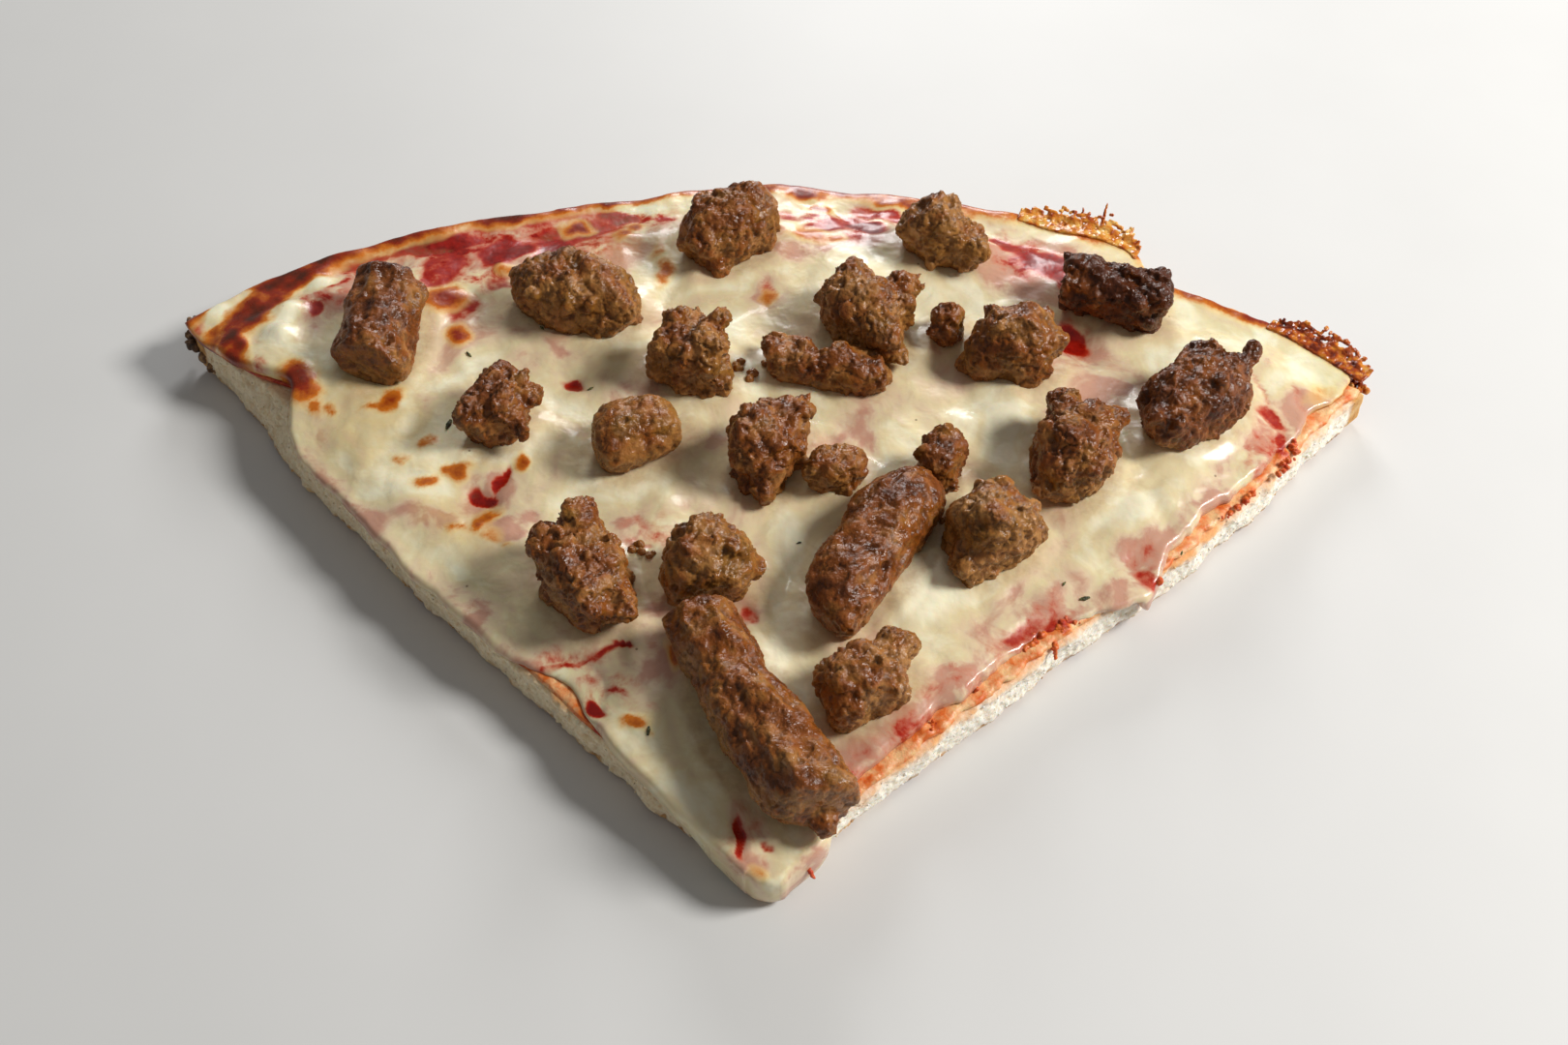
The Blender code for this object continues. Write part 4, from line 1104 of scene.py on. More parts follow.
def settle(piece):
    # The evaluated result as a plain mesh, with the modifiers gone
    graph = bpy.context.evaluated_depsgraph_get()
    data = bpy.data.meshes.new_from_object(piece.evaluated_get(graph))
    piece.modifiers.clear()
    piece.data = data
    data.name = piece.name
    data.shade_smooth()
    return piece


def vectorMath(tree, operation, first, second):
    key = "Scale" if operation == "SCALE" else 1
    inputs = {0: first, key: second}
    return addNode(tree, "ShaderNodeVectorMath", {"operation": operation}, inputs).outputs[0]


def randomNode(tree, kind, low, high, seed):
    first = 0 if kind == "FLOAT_VECTOR" else 2
    inputs = {first: low, first + 1: high, "Seed": seed}
    node = addNode(tree, "FunctionNodeRandomValue", {"data_type": kind}, inputs)
    return node.outputs["Value"] if kind == "FLOAT_VECTOR" else node.outputs[1]


def readField(tree, name):
    return addNode(tree, "GeometryNodeInputNamedAttribute", {"data_type": "FLOAT"}, {"Name": name}).outputs[0]


def storeField(tree, surface, name, value):
    settings = {"data_type": "FLOAT", "domain": "POINT"}
    inputs = {"Geometry": surface, "Name": name, "Value": value}
    return addNode(tree, "GeometryNodeStoreNamedAttribute", settings, inputs)


def scatterBalls(tree, surface, given, detail, depth=None, area=None):
    # Uneven balls at random places on a surface, sunk into it by a depth, and only where the area field is
    spread = {"Mesh": surface, "Distance Min": given["Spacing"], "Density Max": 1e6, "Seed": given["Seed"]}
    if area is not None:
        spread["Density Factor"] = area
    spots = addNode(tree, "GeometryNodeDistributePointsOnFaces", {"distribute_method": "POISSON"}, spread)
    places = spots.outputs[0]
    if depth is not None:
        deeper = vectorMath(tree, "SCALE", spots.outputs["Normal"], multiply(tree, depth, -1.0))
        sunk = {"Geometry": places, "Offset": deeper}
        places = addNode(tree, "GeometryNodeSetPosition", None, sunk).outputs[0]
    inputs = {"Radius": 1.0, "Subdivisions": detail}
    ball = addNode(tree, "GeometryNodeMeshIcoSphere", None, inputs).outputs[0]
    shape = randomNode(tree, "FLOAT_VECTOR", (0.6, 0.6, 0.6), (1.5, 1.5, 1.5), given["Seed"])
    width = randomNode(tree, "FLOAT", given["Smallest"], given["Largest"], given["Seed"])
    turn = randomNode(tree, "FLOAT_VECTOR", (0.0, 0.0, 0.0), (6.28, 6.28, 6.28), given["Seed"])
    size = vectorMath(tree, "SCALE", shape, width)
    placed = {"Points": places, "Instance": ball, "Scale": size, "Rotation": turn}
    return addNode(tree, "GeometryNodeInstanceOnPoints", None, placed).outputs[0]


def lumpTree():
    # Uneven lumps half sunk in a body, so that it looks torn once remeshed
    lengths = (("Spacing", 4.0), ("Smallest", 1.0), ("Largest", 2.6), ("Shrink", 0.5), ("Lump depth", 1.0))
    inputs = [(label, "Float", size * mm) for label, size in lengths] + [("Seed", "Int", 1)]
    tree, given = newTree("meatLumps", inputs)
    normal = addNode(tree, "GeometryNodeInputNormal").outputs[0]
    back = vectorMath(tree, "SCALE", normal, multiply(tree, given["Shrink"], -1.0))
    body = addNode(tree, "GeometryNodeSetPosition", None, {"Geometry": given["Geometry"], "Offset": back})
    lumps = scatterBalls(tree, body.outputs[0], given, 2, depth=given["Lump depth"])
    joined = addNode(tree, "GeometryNodeJoinGeometry")
    tree.links.new(body.outputs[0], joined.inputs[0])
    tree.links.new(lumps, joined.inputs[0])
    return finishTree(tree, joined.outputs[0], sausageMaterial)


def reliefTree():
    # Uneven form, creases, pits and grain; creases and pits are kept as a field of painted shade for the
    # colour, and searing as a field too
    inputs = (
        ("Form depth", "Float", 1.0 * mm), ("Crease depth", "Float", 0.8 * mm),
        ("Grain depth", "Float", 0.35 * mm), ("Pit depth", "Float", 0.8 * mm),
        ("Sear", "Float", 0.3), ("Paleness", "Float", 0.0), ("Offset", "Float", 0.0),
    )
    tree, given = newTree("meatRelief", inputs)
    places = vectorMath(tree, "SCALE", addNode(tree, "GeometryNodeInputPosition").outputs[0], 1000.0)
    shifted = vectorMath(tree, "ADD", places, given["Offset"])
    warp = addNode(tree, "ShaderNodeTexNoise", None, {"Vector": shifted, "Scale": 0.35, "Detail": 2.0})
    warped = vectorMath(tree, "ADD", shifted, vectorMath(tree, "SCALE", warp.outputs["Color"], 5.0))
    form = subtract(tree, noiseNode(tree, shifted, 5.5, 2.0, 0.5), 0.5)
    ridges = calculate(tree, "ABSOLUTE", subtract(tree, noiseNode(tree, warped, 3.6, 2.0, 0.5), 0.5))
    crease = mapRange(tree, ridges, 0.0, 0.075, 1.0, 0.0)
    knobs = multiply(tree, subtract(tree, 0.4, cellNode(tree, warped, 2.6)), 0.6)
    grain = subtract(tree, noiseNode(tree, shifted, 1.5, 4.0, 0.62), 0.5)
    pits = mapRange(tree, cellNode(tree, shifted, 4.4), 0.1, 0.26, 1.0, 0.0)
    rise = multiply(tree, form, multiply(tree, given["Form depth"], 3.0))
    rise = add(tree, rise, multiply(tree, knobs, given["Crease depth"]))
    rise = subtract(tree, rise, multiply(tree, crease, given["Crease depth"]))
    rise = add(tree, rise, multiply(tree, grain, multiply(tree, given["Grain depth"], 3.0)))
    rise = subtract(tree, rise, multiply(tree, pits, given["Pit depth"]))
    normal = addNode(tree, "GeometryNodeInputNormal").outputs[0]
    moved = {"Geometry": given["Geometry"], "Offset": vectorMath(tree, "SCALE", normal, rise)}
    result = addNode(tree, "GeometryNodeSetPosition", None, moved)
    upward = addNode(tree, "ShaderNodeSeparateXYZ", None, {0: normal}).outputs["Z"]
    patches = subtract(tree, noiseNode(tree, shifted, 6.5, 3.0), 0.5)
    seared = add(tree, given["Sear"], multiply(tree, patches, 1.8))
    seared = add(tree, seared, multiply(tree, upward, 0.26))
    # Creases and pits are kept as a field of painted shade
    fields = (
        ("crevice", calculate(tree, "MAXIMUM", crease, pits)), ("sear", seared),
        ("paleness", given["Paleness"]),
    )
    for name, value in fields:
        result = storeField(tree, result.outputs[0], name, value)
    return finishTree(tree, result.outputs[0], sausageMaterial)


lumps = lumpTree()
relief = reliefTree()

# Each sausage piece: how its surface is broken up, how seared it is and how pale
sausageShape = {
    "voxel": 0.4, "sinkDepth": 1.5, "sinkOver": 4.0, "top": 30.2, "tagBase": 5.6, "tagLength": 10.0,
}
sausageKinds = {
    "coarse": {
        "Spacing": 4.8, "Smallest": 1.0, "Largest": 2.8, "Shrink": 0.5, "Lump depth": 1.4,
        "Form depth": 1.0, "Crease depth": 0.5, "Grain depth": 0.26, "Pit depth": 0.6,
    },
    "knobbly": {
        "Spacing": 5.4, "Smallest": 1.2, "Largest": 3.2, "Shrink": 0.6, "Lump depth": 1.6,
        "Form depth": 1.2, "Crease depth": 0.7, "Grain depth": 0.24, "Pit depth": 0.5,
    },
    "smooth": {
        "Spacing": 7.0, "Smallest": 1.0, "Largest": 2.4, "Shrink": 0.3, "Lump depth": 1.9,
        "Form depth": 0.55, "Crease depth": 0.3, "Grain depth": 0.2, "Pit depth": 0.6,
    },
}
sausagePieces = {
    "link_slice_left": {"kind": "smooth", "sear": 0.4},
    "back_left": {
        "kind": "coarse", "sear": 0.12, "paleness": 0.15,
        "spikes": ((-44.9, 56.6, 26.6, 0.6), (-59.0, 52.4, 19.0, 1.6)),
        "dents": ((-52.0, 55.0, 31.0, 5.5),),
    },
    "back_middle": {"kind": "coarse", "sear": 0.28, "spikes": ((-15.6, 73.4, 25.0, 2.4),)},
    "back_pale": {
        "kind": "coarse", "sear": 0.05, "paleness": 0.4,
        "spikes": ((42.6, 73.4, 26.4, 1.3), (49.4, 65.6, 19.0, 1.8), (31.5, 73.0, 21.5, 1.6)),
        "dents": ((47.0, 70.5, 26.0, 3.6), (33.0, 70.0, 28.0, 3.6)),
    },
    "seared_link": {
        "kind": "coarse", "sear": 0.85, "spikes": ((66.6, 56.4, 24.4, 0.8), (90.0, 50.6, 22.0, 1.2)),
        "dents": ((76.0, 58.5, 28.5, 5.0),),
    },
    "seared_spiked": {
        "kind": "coarse", "sear": 0.6,
        "spikes": ((92.6, 25.0, 26.2, 1.5), (105.4, 22.6, 24.8, 0.6), (102.0, 21.0, 21.0, 3.8)),
        "dents": ((99.5, 25.0, 28.0, 4.4), (83.0, 4.0, 24.0, 5.0)),
    },
    "dark_edged": {
        "kind": "coarse", "sear": 0.24,
        "spikes": ((49.0, 38.6, 23.0, 2.6), (65.6, 31.4, 21.0, 0.6), (62.4, 38.2, 24.0, 0.8)),
    },
    "back_right": {
        "kind": "knobbly", "sear": 0.18, "paleness": 0.1,
        "spikes": ((17.2, 50.7, 26.6, 1.2), (34.6, 48.4, 22.0, 1.5)), "dents": ((28.5, 50.5, 26.0, 4.0),),
    },
    "bridge_bit": {"kind": "coarse", "sear": 0.35},
    "curled_top": {
        "kind": "knobbly", "sear": 0.14, "paleness": 0.1,
        "spikes": ((-23.0, 35.2, 26.0, 1.6), (-16.0, 36.5, 26.4, 1.6), (-10.0, 34.6, 25.5, 1.0)),
        "dents": ((-12.0, 26.5, 27.5, 5.5),),
    },
    "flat_crumble": {
        "kind": "coarse", "sear": 0.3, "spikes": ((-0.3, 36.2, 18.5, 1.4), (26.4, 30.6, 17.5, 1.2)),
    },
    "curled_end": {
        "kind": "knobbly", "sear": 0.4, "spikes": ((-52.4, 18.0, 25.5, 1.8), (-60.4, 17.1, 24.5, 1.8)),
        "dents": ((-54.5, 8.5, 25.0, 5.6),),
    },
    "round_left": {"kind": "smooth", "sear": 0.12, "paleness": 0.2},
    "centre_drop": {
        "kind": "knobbly", "sear": 0.34, "spikes": ((8.6, 13.6, 23.5, 1.2), (1.7, -7.0, 14.5, 1.0)),
    },
    "centre_ball": {"kind": "coarse", "sear": 0.25, "paleness": 0.1},
    "two_peaked": {
        "kind": "knobbly", "sear": 0.3,
        "spikes": ((62.1, 12.3, 25.4, 1.8), (72.0, 5.1, 24.6, 1.8), (55.4, -4.4, 16.0, 1.6)),
        "dents": ((68.0, 9.5, 29.5, 4.4), (63.0, -3.0, 28.0, 5.0)),
    },
    "long_chunk": {"kind": "smooth", "sear": 0.48},
    "chunk_head": {
        "kind": "coarse", "sear": 0.4, "spikes": ((33.6, 0.6, 25.0, 1.2), (40.2, 1.2, 24.5, 1.0)),
    },
    "right_round": {
        "kind": "coarse", "sear": 0.04, "paleness": 0.3,
        "spikes": ((43.2, -12.2, 24.0, 1.6), (38.0, -29.6, 14.5, 1.2)),
    },
    "jagged": {
        "kind": "knobbly", "sear": 0.32, "paleness": 0.1,
        "spikes": ((-42.7, -20.0, 25.4, 0.8), (-46.4, -23.3, 22.5, 1.2), (-32.4, -24.2, 24.8, 0.8)),
        "dents": ((-37.5, -23.5, 29.5, 4.8),),
    },
    "left_round": {
        "kind": "coarse", "sear": 0.06, "paleness": 0.25, "spikes": ((-12.1, -22.6, 26.0, 2.4),),
        "dents": ((-4.5, -25.0, 29.5, 4.6), (-20.0, -25.0, 28.5, 4.0)),
    },
    "long_link": {
        "kind": "smooth", "sear": 0.32, "spikes": ((15.0, -80.5, 15.0, 1.6), (10.6, -85.6, 14.6, 3.4)),
    },
    "tucked_wedge": {
        "kind": "coarse", "sear": 0.16, "paleness": 0.15,
        "spikes": ((28.2, -51.8, 22.5, 0.8), (14.0, -53.4, 24.0, 1.6)),
    },
}
# Links cut across: x, y, length, width, height, turn, how square the ends are, taper, bend, slant,
# lengthwise ridges, waist
sausageBarrels = {
    "link_slice_left": (-87.2, 38.3, 27.5, 17.2, 15.0, 85, 9.0, 0.0, 0.0, 0.16, 0.14, 0.0),
    "seared_link": (78.5, 48.0, 24.0, 12.6, 13.5, -18, 9.0, 0.05, 0.0, 0.2, 0.26, 0.0),
    "long_link": (-3.0, -63.5, 51.0, 17.0, 15.4, -62, 8.0, 0.10, -0.4, 0.25, 0.17, 0.14),
    "long_chunk": (21.4, -25.2, 43.0, 17.5, 15.2, 57, 3.0, -0.06, 0.6, 0.2, 0.16, 0.05),
    "round_left": (-28.8, 6.0, 20.0, 15.0, 14.0, 28, 3.2, 0.0, 0.6, 0.1, 0.14, 0.0),
}
barrelRings = 44
barrelSides = 60


def barrelMesh(shape):
    x, y, length, width, height, turn, squareness, taper, bend, slant, ridges, waist = shape
    turn = math.radians(turn)
    level = heights["seat"] + 0.5 * height
    mesh = bmesh.new()
    rings = []
    for share in np.sin(np.linspace(-0.5 * math.pi, 0.5 * math.pi, barrelRings + 2)[1:-1]):
        narrow = (1.0 - abs(share) ** squareness) ** (1.0 / squareness) * (1.0 + taper * share)
        narrow *= 1.0 - waist * math.exp(-(((share + 0.3) / 0.2) ** 2))
        ring = []
        for angle in np.arange(barrelSides) * math.tau / barrelSides:
            spot = Vector((1.9 * math.cos(angle) + x, 1.9 * math.sin(angle), length * share / 22.0 + y))
            size = narrow * (1.0 + ridges * noise.noise(spot) + 0.5 * ridges * noise.noise(2.3 * spot))
            across = 0.5 * width * size * math.copysign(abs(math.cos(angle)) ** 0.92, math.cos(angle))
            up = 0.5 * height * size * math.copysign(abs(math.sin(angle)) ** 0.92, math.sin(angle))
            along = 0.5 * length * share + slant * across
            across += bend * (1.0 - 3.0 * share * share)
            place = Vector((*turnedPlace(x, y, along, across, turn), level + up))
            ring.append(mesh.verts.new(place * mm))
        rings.append(ring)
    for first, second in zip(rings, rings[1:]):
        for step in range(barrelSides):
            after = (step + 1) % barrelSides
            mesh.faces.new((first[step], first[after], second[after], second[step]))
    for ring, flipped in ((rings[0], True), (rings[-1], False)):
        middle = mesh.verts.new(sum((vert.co for vert in ring), Vector()) / barrelSides)
        for step in range(barrelSides):
            after = (step + 1) % barrelSides
            first, second = (after, step) if flipped else (step, after)
            mesh.faces.new((ring[first], ring[second], middle))
    bmesh.ops.recalc_face_normals(mesh, faces=mesh.faces)
    return mesh


def addDents(mesh, dents):
    # Pushes the surface out of balls, which leaves hollows: x, y, z and radius
    for x, y, z, radius in dents:
        middle = Vector((x, y, z)) * mm
        for vert in mesh.verts:
            away = vert.co - middle
            if 0.0 < away.length < radius * mm:
                vert.co = middle + away.normalized() * radius * mm


def addSpikes(mesh, spikes):
    # Tapering tags from inside the piece to each peak: x, y, z and the radius at its end
    points = np.array([tuple(vert.co) for vert in mesh.verts]) / mm
    middle = points.mean(axis=0)
    base = min(sausageShape["tagBase"], 0.44 * np.ptp(points, axis=0).min())
    for x, y, z, radius in spikes:
        end = np.array((x, y, z))
        inward = middle - end
        start = end + inward * min(0.65, sausageShape["tagLength"] / np.linalg.norm(inward))
        for step in np.linspace(0.0, 1.0, 14):
            place = start + (end - start) * step
            size = (base + (radius - base) * step ** 1.25) * mm
            ball = bmesh.ops.create_icosphere(mesh, subdivisions=1, radius=size)
            bmesh.ops.translate(mesh, verts=ball["verts"], vec=Vector(place * mm))


def copyNode(node, name, look):
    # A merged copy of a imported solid, or a link in its place, sunk into the cheese, with hollows and tags
    label = node.replace("sausage_", "")
    if label in sausageBarrels:
        mesh = barrelMesh(sausageBarrels[label])
    else:
        mesh = bmesh.new()
        mesh.from_mesh(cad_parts[node].data)
        bmesh.ops.remove_doubles(mesh, verts=mesh.verts, dist=1e-6)
        bmesh.ops.subdivide_edges(mesh, edges=mesh.edges, cuts=1, smooth=0.7, use_grid_fill=True)
    lowest = min(vert.co.z for vert in mesh.verts)
    over = sausageShape["sinkOver"] * mm
    for vert in mesh.verts:
        vert.co.z -= sausageShape["sinkDepth"] * mm * max(0.0, 1.0 - (vert.co.z - lowest) / over)
    addDents(mesh, look.get("dents", ()))
    addSpikes(mesh, look.get("spikes", ()))
    data = bpy.data.meshes.new(name)
    mesh.to_mesh(data)
    mesh.free()
    data.materials.append(sausageMaterial)
    piece = bpy.data.objects.new(name, data)
    bpy.context.scene.collection.objects.link(piece)
    return piece


def buildSausage(place, node):
    label = node.replace("sausage_", "")
    look = sausagePieces[label]
    lengths = {key: value * mm for key, value in sausageKinds[look["kind"]].items()}
    piece = copyNode(node, "sausage" + label.replace("_", " ").title().replace(" ", ""), look)
    addTree(piece, lumps, {**lengths, "Seed": 11 + place})
    remesh = piece.modifiers.new("oneSkin", "REMESH")
    remesh.mode = "VOXEL"
    remesh.voxel_size = sausageShape["voxel"] * mm
    values = {**lengths, "Sear": look["sear"], "Paleness": look.get("paleness", 0.0), "Offset": 37.0 * place}
    addTree(piece, relief, values)
    return pressTop(settle(piece))


def pressTop(piece):
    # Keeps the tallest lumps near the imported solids' top
    places = np.empty(3 * len(piece.data.vertices))
    piece.data.vertices.foreach_get("co", places)
    up = places[2::3]
    limit = sausageShape["top"] * mm
    places[2::3] = np.where(up > limit, limit + 0.3 * (up - limit), up)
    piece.data.vertices.foreach_set("co", places)
    return piece


sausages = [buildSausage(place, node) for place, node in enumerate(sausageNodes)]
print("sausage built", sum(len(piece.data.polygons) for piece in sausages))


def blobTree():
    # Runs the blobs of a point cloud together into one lumpy skin
    inputs = (
        ("Voxel", "Float", 0.3 * mm), ("Rough size", "Float", 1.6), ("Rough depth", "Float", 0.25 * mm),
        ("Tone", "Float", 0.5), ("Field", "String", "depth"), ("Material", "Material", None),
    )
    tree, given = newTree("joinedBlobs", inputs)
    width = readField(tree, "width")
    points = addNode(tree, "GeometryNodeMeshToPoints", None, {"Mesh": given["Geometry"]})
    inputs = {"Points": points.outputs[0], "Voxel Size": given["Voxel"], "Radius": width}
    volume = addNode(tree, "GeometryNodePointsToVolume", {"resolution_mode": "VOXEL_SIZE"}, inputs)
    skin = addNode(tree, "GeometryNodeVolumeToMesh", None, {"Volume": volume.outputs[0]})
    places = vectorMath(tree, "SCALE", addNode(tree, "GeometryNodeInputPosition").outputs[0], 1000.0)
    scale = calculate(tree, "DIVIDE", 1.0, given["Rough size"])
    rough = addNode(tree, "ShaderNodeTexNoise", None, {"Vector": places, "Scale": scale, "Detail": 3.0})
    depth = multiply(tree, given["Rough depth"], 4.0)
    rise = multiply(tree, subtract(tree, rough.outputs["Fac"], 0.5), depth)
    normal = addNode(tree, "GeometryNodeInputNormal").outputs[0]
    moved = {"Geometry": skin.outputs[0], "Offset": vectorMath(tree, "SCALE", normal, rise)}
    shaped = addNode(tree, "GeometryNodeSetPosition", None, moved)
    kept = storeField(tree, shaped.outputs[0], given["Field"], given["Tone"])
    return finishTree(tree, kept.outputs[0], given["Material"])


def scatterTree():
    # Small uneven grains spread over the chosen faces of a surface
    inputs = (
        ("Spacing", "Float", 1.5 * mm), ("Smallest", "Float", 0.2 * mm), ("Largest", "Float", 0.5 * mm),
        ("Seed", "Int", 3), ("Area", "String", "crumbSide"), ("Material", "Material", None),
    )
    tree, given = newTree("scatteredGrains", inputs)
    area = readField(tree, given["Area"])
    grains = scatterBalls(tree, given["Geometry"], given, 1, area=area)
    return finishTree(tree, grains, given["Material"])


joinedBlobs = blobTree()
scatteredGrains = scatterTree()
rng = np.random.default_rng(7)


def makeBlobs(name, blobs, material, values):
    # Blobs are rows of x, y, z and radius
    blobs = np.asarray(blobs, float)
    piece = makePiece(name, blobs[:, :3], [], material, {"width": blobs[:, 3] * mm})
    addTree(piece, joinedBlobs, {**values, "Material": material})
    return settle(piece)


def trail(start, end, first, last, count, wobble):
    # Blobs along a straight run from one place to another, narrowing as they go
    share = np.linspace(0.0, 1.0, count)[:, None]
    run = np.array(start) + (np.array(end) - np.array(start)) * share + rng.normal(0.0, wobble, (count, 3))
    return np.column_stack([run, (first + (last - first) * share)[:, 0]]).tolist()


def onCheese(x, y, above=0.0):
    return float(cheeseTop(np.array([x]), np.array([y]))[0]) + above


# Lacy crisp cheese hanging over the rim
laceShape = {"cell": 0.40, "inside": 2.4, "hole": 2.3, "strand": 0.24, "thickness": 0.4, "rise": 1.6}
crispTones = {"laceBack": 0.66, "laceCorner": 0.5}
# Middle angle, half width, reach, first angle and last angle of each lace
laceSheets = {"laceBack": (23.2, 4.2, 6.2, 18.5, 27.6), "laceCorner": (43.2, 3.6, 5.6, 38.8, 46.6)}
# Threads standing up at the back lace: start and end
laceThreads = (
    ((80.0, 80.5, 9.0), (81.0, 82.6, 15.4)), ((75.0, 79.8, 9.0), (75.3, 82.4, 14.2)),
    ((85.6, 76.6, 8.6), (87.6, 78.8, 11.0)), ((66.0, 80.8, 8.4), (65.6, 82.6, 10.4)),
)
# Lumps of crisp cheese that fill out each lace: middle x, y, z, spread along and across, turn, how many,
# largest radius
crispLumps = {
    "laceBack": ((74.0, 77.0, 9.4, 7.0, 2.0, -24, 90, 1.1), (82.0, 74.5, 8.6, 4.0, 1.6, -40, 40, 0.9)),
    "laceCorner": (
        (128.4, 36.0, 8.2, 5.4, 3.0, -62, 190, 1.05), (121.6, 42.4, 8.6, 5.0, 1.0, -48, 60, 0.8),
        (131.6, 30.6, 7.4, 3.0, 2.2, -70, 60, 0.9),
    ),
}


def rimPlace(angle, radius):
    turn = math.radians(angle)
    return plan["tip"][0] + radius * math.sin(turn), plan["tip"][1] + radius * math.cos(turn)


def laceBlobs(middle, halfWidth, reach, first, last):
    shape = laceShape
    blobs = []
    for angle in np.arange(first, last, math.degrees(shape["cell"] / plan["rimRadius"])):
        edge = float(rimRadius(np.array([angle]))[0]) + plan["bakedOverhang"]
        width = reach * math.exp(-(((angle - middle) / halfWidth) ** 4))
        for out in np.arange(-shape["inside"], width, shape["cell"]):
            x, y = rimPlace(angle, edge + out)
            warp = noise.noise_vector((x / 4.0, y / 4.0, 0.0)) * 1.2
            distances = noise.voronoi(((x + warp.x) / shape["hole"], (y + warp.y) / shape["hole"], 0.0))[0]
            fringe = noise.noise((x / 1.4, y / 1.4, 5.0)) > 2.4 * out / max(width, 1.0) - 1.7
            strand = distances[1] - distances[0] < shape["strand"] * (1.0 + 1.2 * max(0.0, 1.0 - out / 3.0))
            if fringe and strand:
                inner = onCheese(x, y) if out < 0.0 else None
                level = rimLevel(angle) + shape["rise"] * max(out, 0.0) / max(width, 1.0)
                level += 0.7 * noise.noise((x / 3.0, y / 3.0, 9.0))
                blobs.append((x, y, max(level, inner + 0.1) if inner else level, shape["thickness"]))
    return blobs


def rimLevel(angle):
    radius = float(rimRadius(np.array([angle]))[0]) + plan["bakedOverhang"] - 1.8
    return onCheese(*rimPlace(angle, radius), -0.3)


def buildLace():
    values = {"Voxel": 0.24 * mm, "Rough size": 1.2, "Rough depth": 0.1 * mm, "Field": "depth"}
    pieces = []
    for name, sheet in laceSheets.items():
        blobs = laceBlobs(*sheet)
        if name == "laceBack":
            for start, end in laceThreads:
                blobs += trail(start, end, 0.6, 0.22, 24, 0.05)
        for x, y, z, along, across, turn, count, largest in crispLumps[name]:
            turn = math.radians(turn)
            for first, second in rng.uniform(-1.0, 1.0, (count, 2)):
                spot = turnedPlace(x, y, along * first, across * second, turn)
                blobs.append((*spot, z + rng.uniform(-0.8, 0.8), largest * rng.uniform(0.4, 1.0)))
        pieces.append(makeBlobs(name, blobs, crispMaterial, {**values, "Tone": crispTones[name]}))
    return pieces


# Sauce lumps along the right cut, by the patches of sauce they belong to: x, y, half length, half width,
# turn, how many
sauceLumps = (
    (52, -42.5, 3.6, 1.5, 36, 44), (59.5, -38, 2.8, 1.8, 38, 40), (31, -63, 3.0, 0.8, 40, 9),
    (40, -54, 2.0, 0.8, 42, 6), (112, 14, 3.6, 1.4, -78, 34), (114, 8, 3.0, 1.2, -76, 26),
    (111, 3, 3.0, 1.0, 50, 16), (79, -27, 2.4, 1.2, 60, 14), (100, -7, 7.0, 0.5, 46, 16),
)
# Drops running down the cut: start and end
drips = (((57.0, -43.0, 10.6), (57.6, -44.6, 8.2)), ((7.0, -89.0, 6.0), (8.4, -91.2, 4.4)))


def buildSauceLumps():
    blobs = []
    for x, y, halfLength, halfWidth, turn, count in sauceLumps:
        turn = math.radians(turn)
        for along, across in rng.normal(0.0, 0.5, (round(0.7 * count), 2)):
            spotX, spotY = turnedPlace(x, y, along * halfLength, across * halfWidth, turn)
            level = float(sauceTop(np.array([spotX]), np.array([spotY]))[0])
            blobs.append((spotX, spotY, level + rng.uniform(-0.5, 0.7), rng.uniform(0.3, 0.8)))
    for start, end in drips:
        blobs += trail(start, end, 0.6, 0.4, 9, 0.15)
    values = {"Voxel": 0.24 * mm, "Rough size": 0.8, "Rough depth": 0.26 * mm, "Tone": 0.66, "Field": "depth"}
    return makeBlobs("sauceLumps", blobs, sauceMaterial, values)


# Burnt tag of crust at the left corner: x, y, z, radius
nibPlaces = (
    (-130.6, 47.0, 7.4, 2.4), (-133.0, 48.6, 8.0, 1.9), (-134.8, 49.6, 8.8, 1.2), (-128.6, 47.6, 8.0, 2.2),
    (-126.6, 49.2, 8.6, 1.8), (-133.0, 45.8, 5.4, 1.9), (-131.0, 43.0, 4.6, 1.9), (-135.2, 47.6, 6.6, 1.3),
    (-129.4, 40.4, 3.6, 1.6),
)
# Scraps of sausage on the cheese: x, y, radius
meatScraps = (
    (-26.5, -22.0, 1.3), (-24.6, -23.4, 0.9), (44.0, -16.5, 1.2), (45.6, -17.6, 0.8), (-7.0, 29.0, 1.3),
    (-4.4, 27.6, 1.5), (-9.6, 27.0, 1.0), (33.0, -13.5, 1.4), (36.0, -14.6, 1.2), (4.0, 18.0, 1.0),
    (-1.0, 31.4, 1.1),
)


def buildNib():
    blobs = []
    for x, y, z, radius in nibPlaces:
        for offset in rng.normal(0.0, 0.4 * radius, (12, 3)):
            blobs.append((
                x + offset[0], y + offset[1], max(z + offset[2], 1.2), radius * rng.uniform(0.4, 0.7),
            ))
    values = {"Voxel": 0.3 * mm, "Rough size": 1.3, "Rough depth": 0.3 * mm, "Tone": 1.0, "Field": "browned"}
    return makeBlobs("burntNib", blobs, crustMaterial, values)


def buildScraps():
    blobs = []
    for x, y, radius in meatScraps:
        for offset in rng.normal(0.0, 0.6 * radius, (6, 2)):
            spotX, spotY = x + offset[0], y + offset[1]
            blobs.append((spotX, spotY, onCheese(spotX, spotY, 0.2), radius * rng.uniform(0.4, 0.75)))
    values = {"Voxel": 0.28 * mm, "Rough size": 1.2, "Rough depth": 0.25 * mm, "Tone": 0.3, "Field": "sear"}
    return makeBlobs("sausageScraps", blobs, sausageMaterial, values)


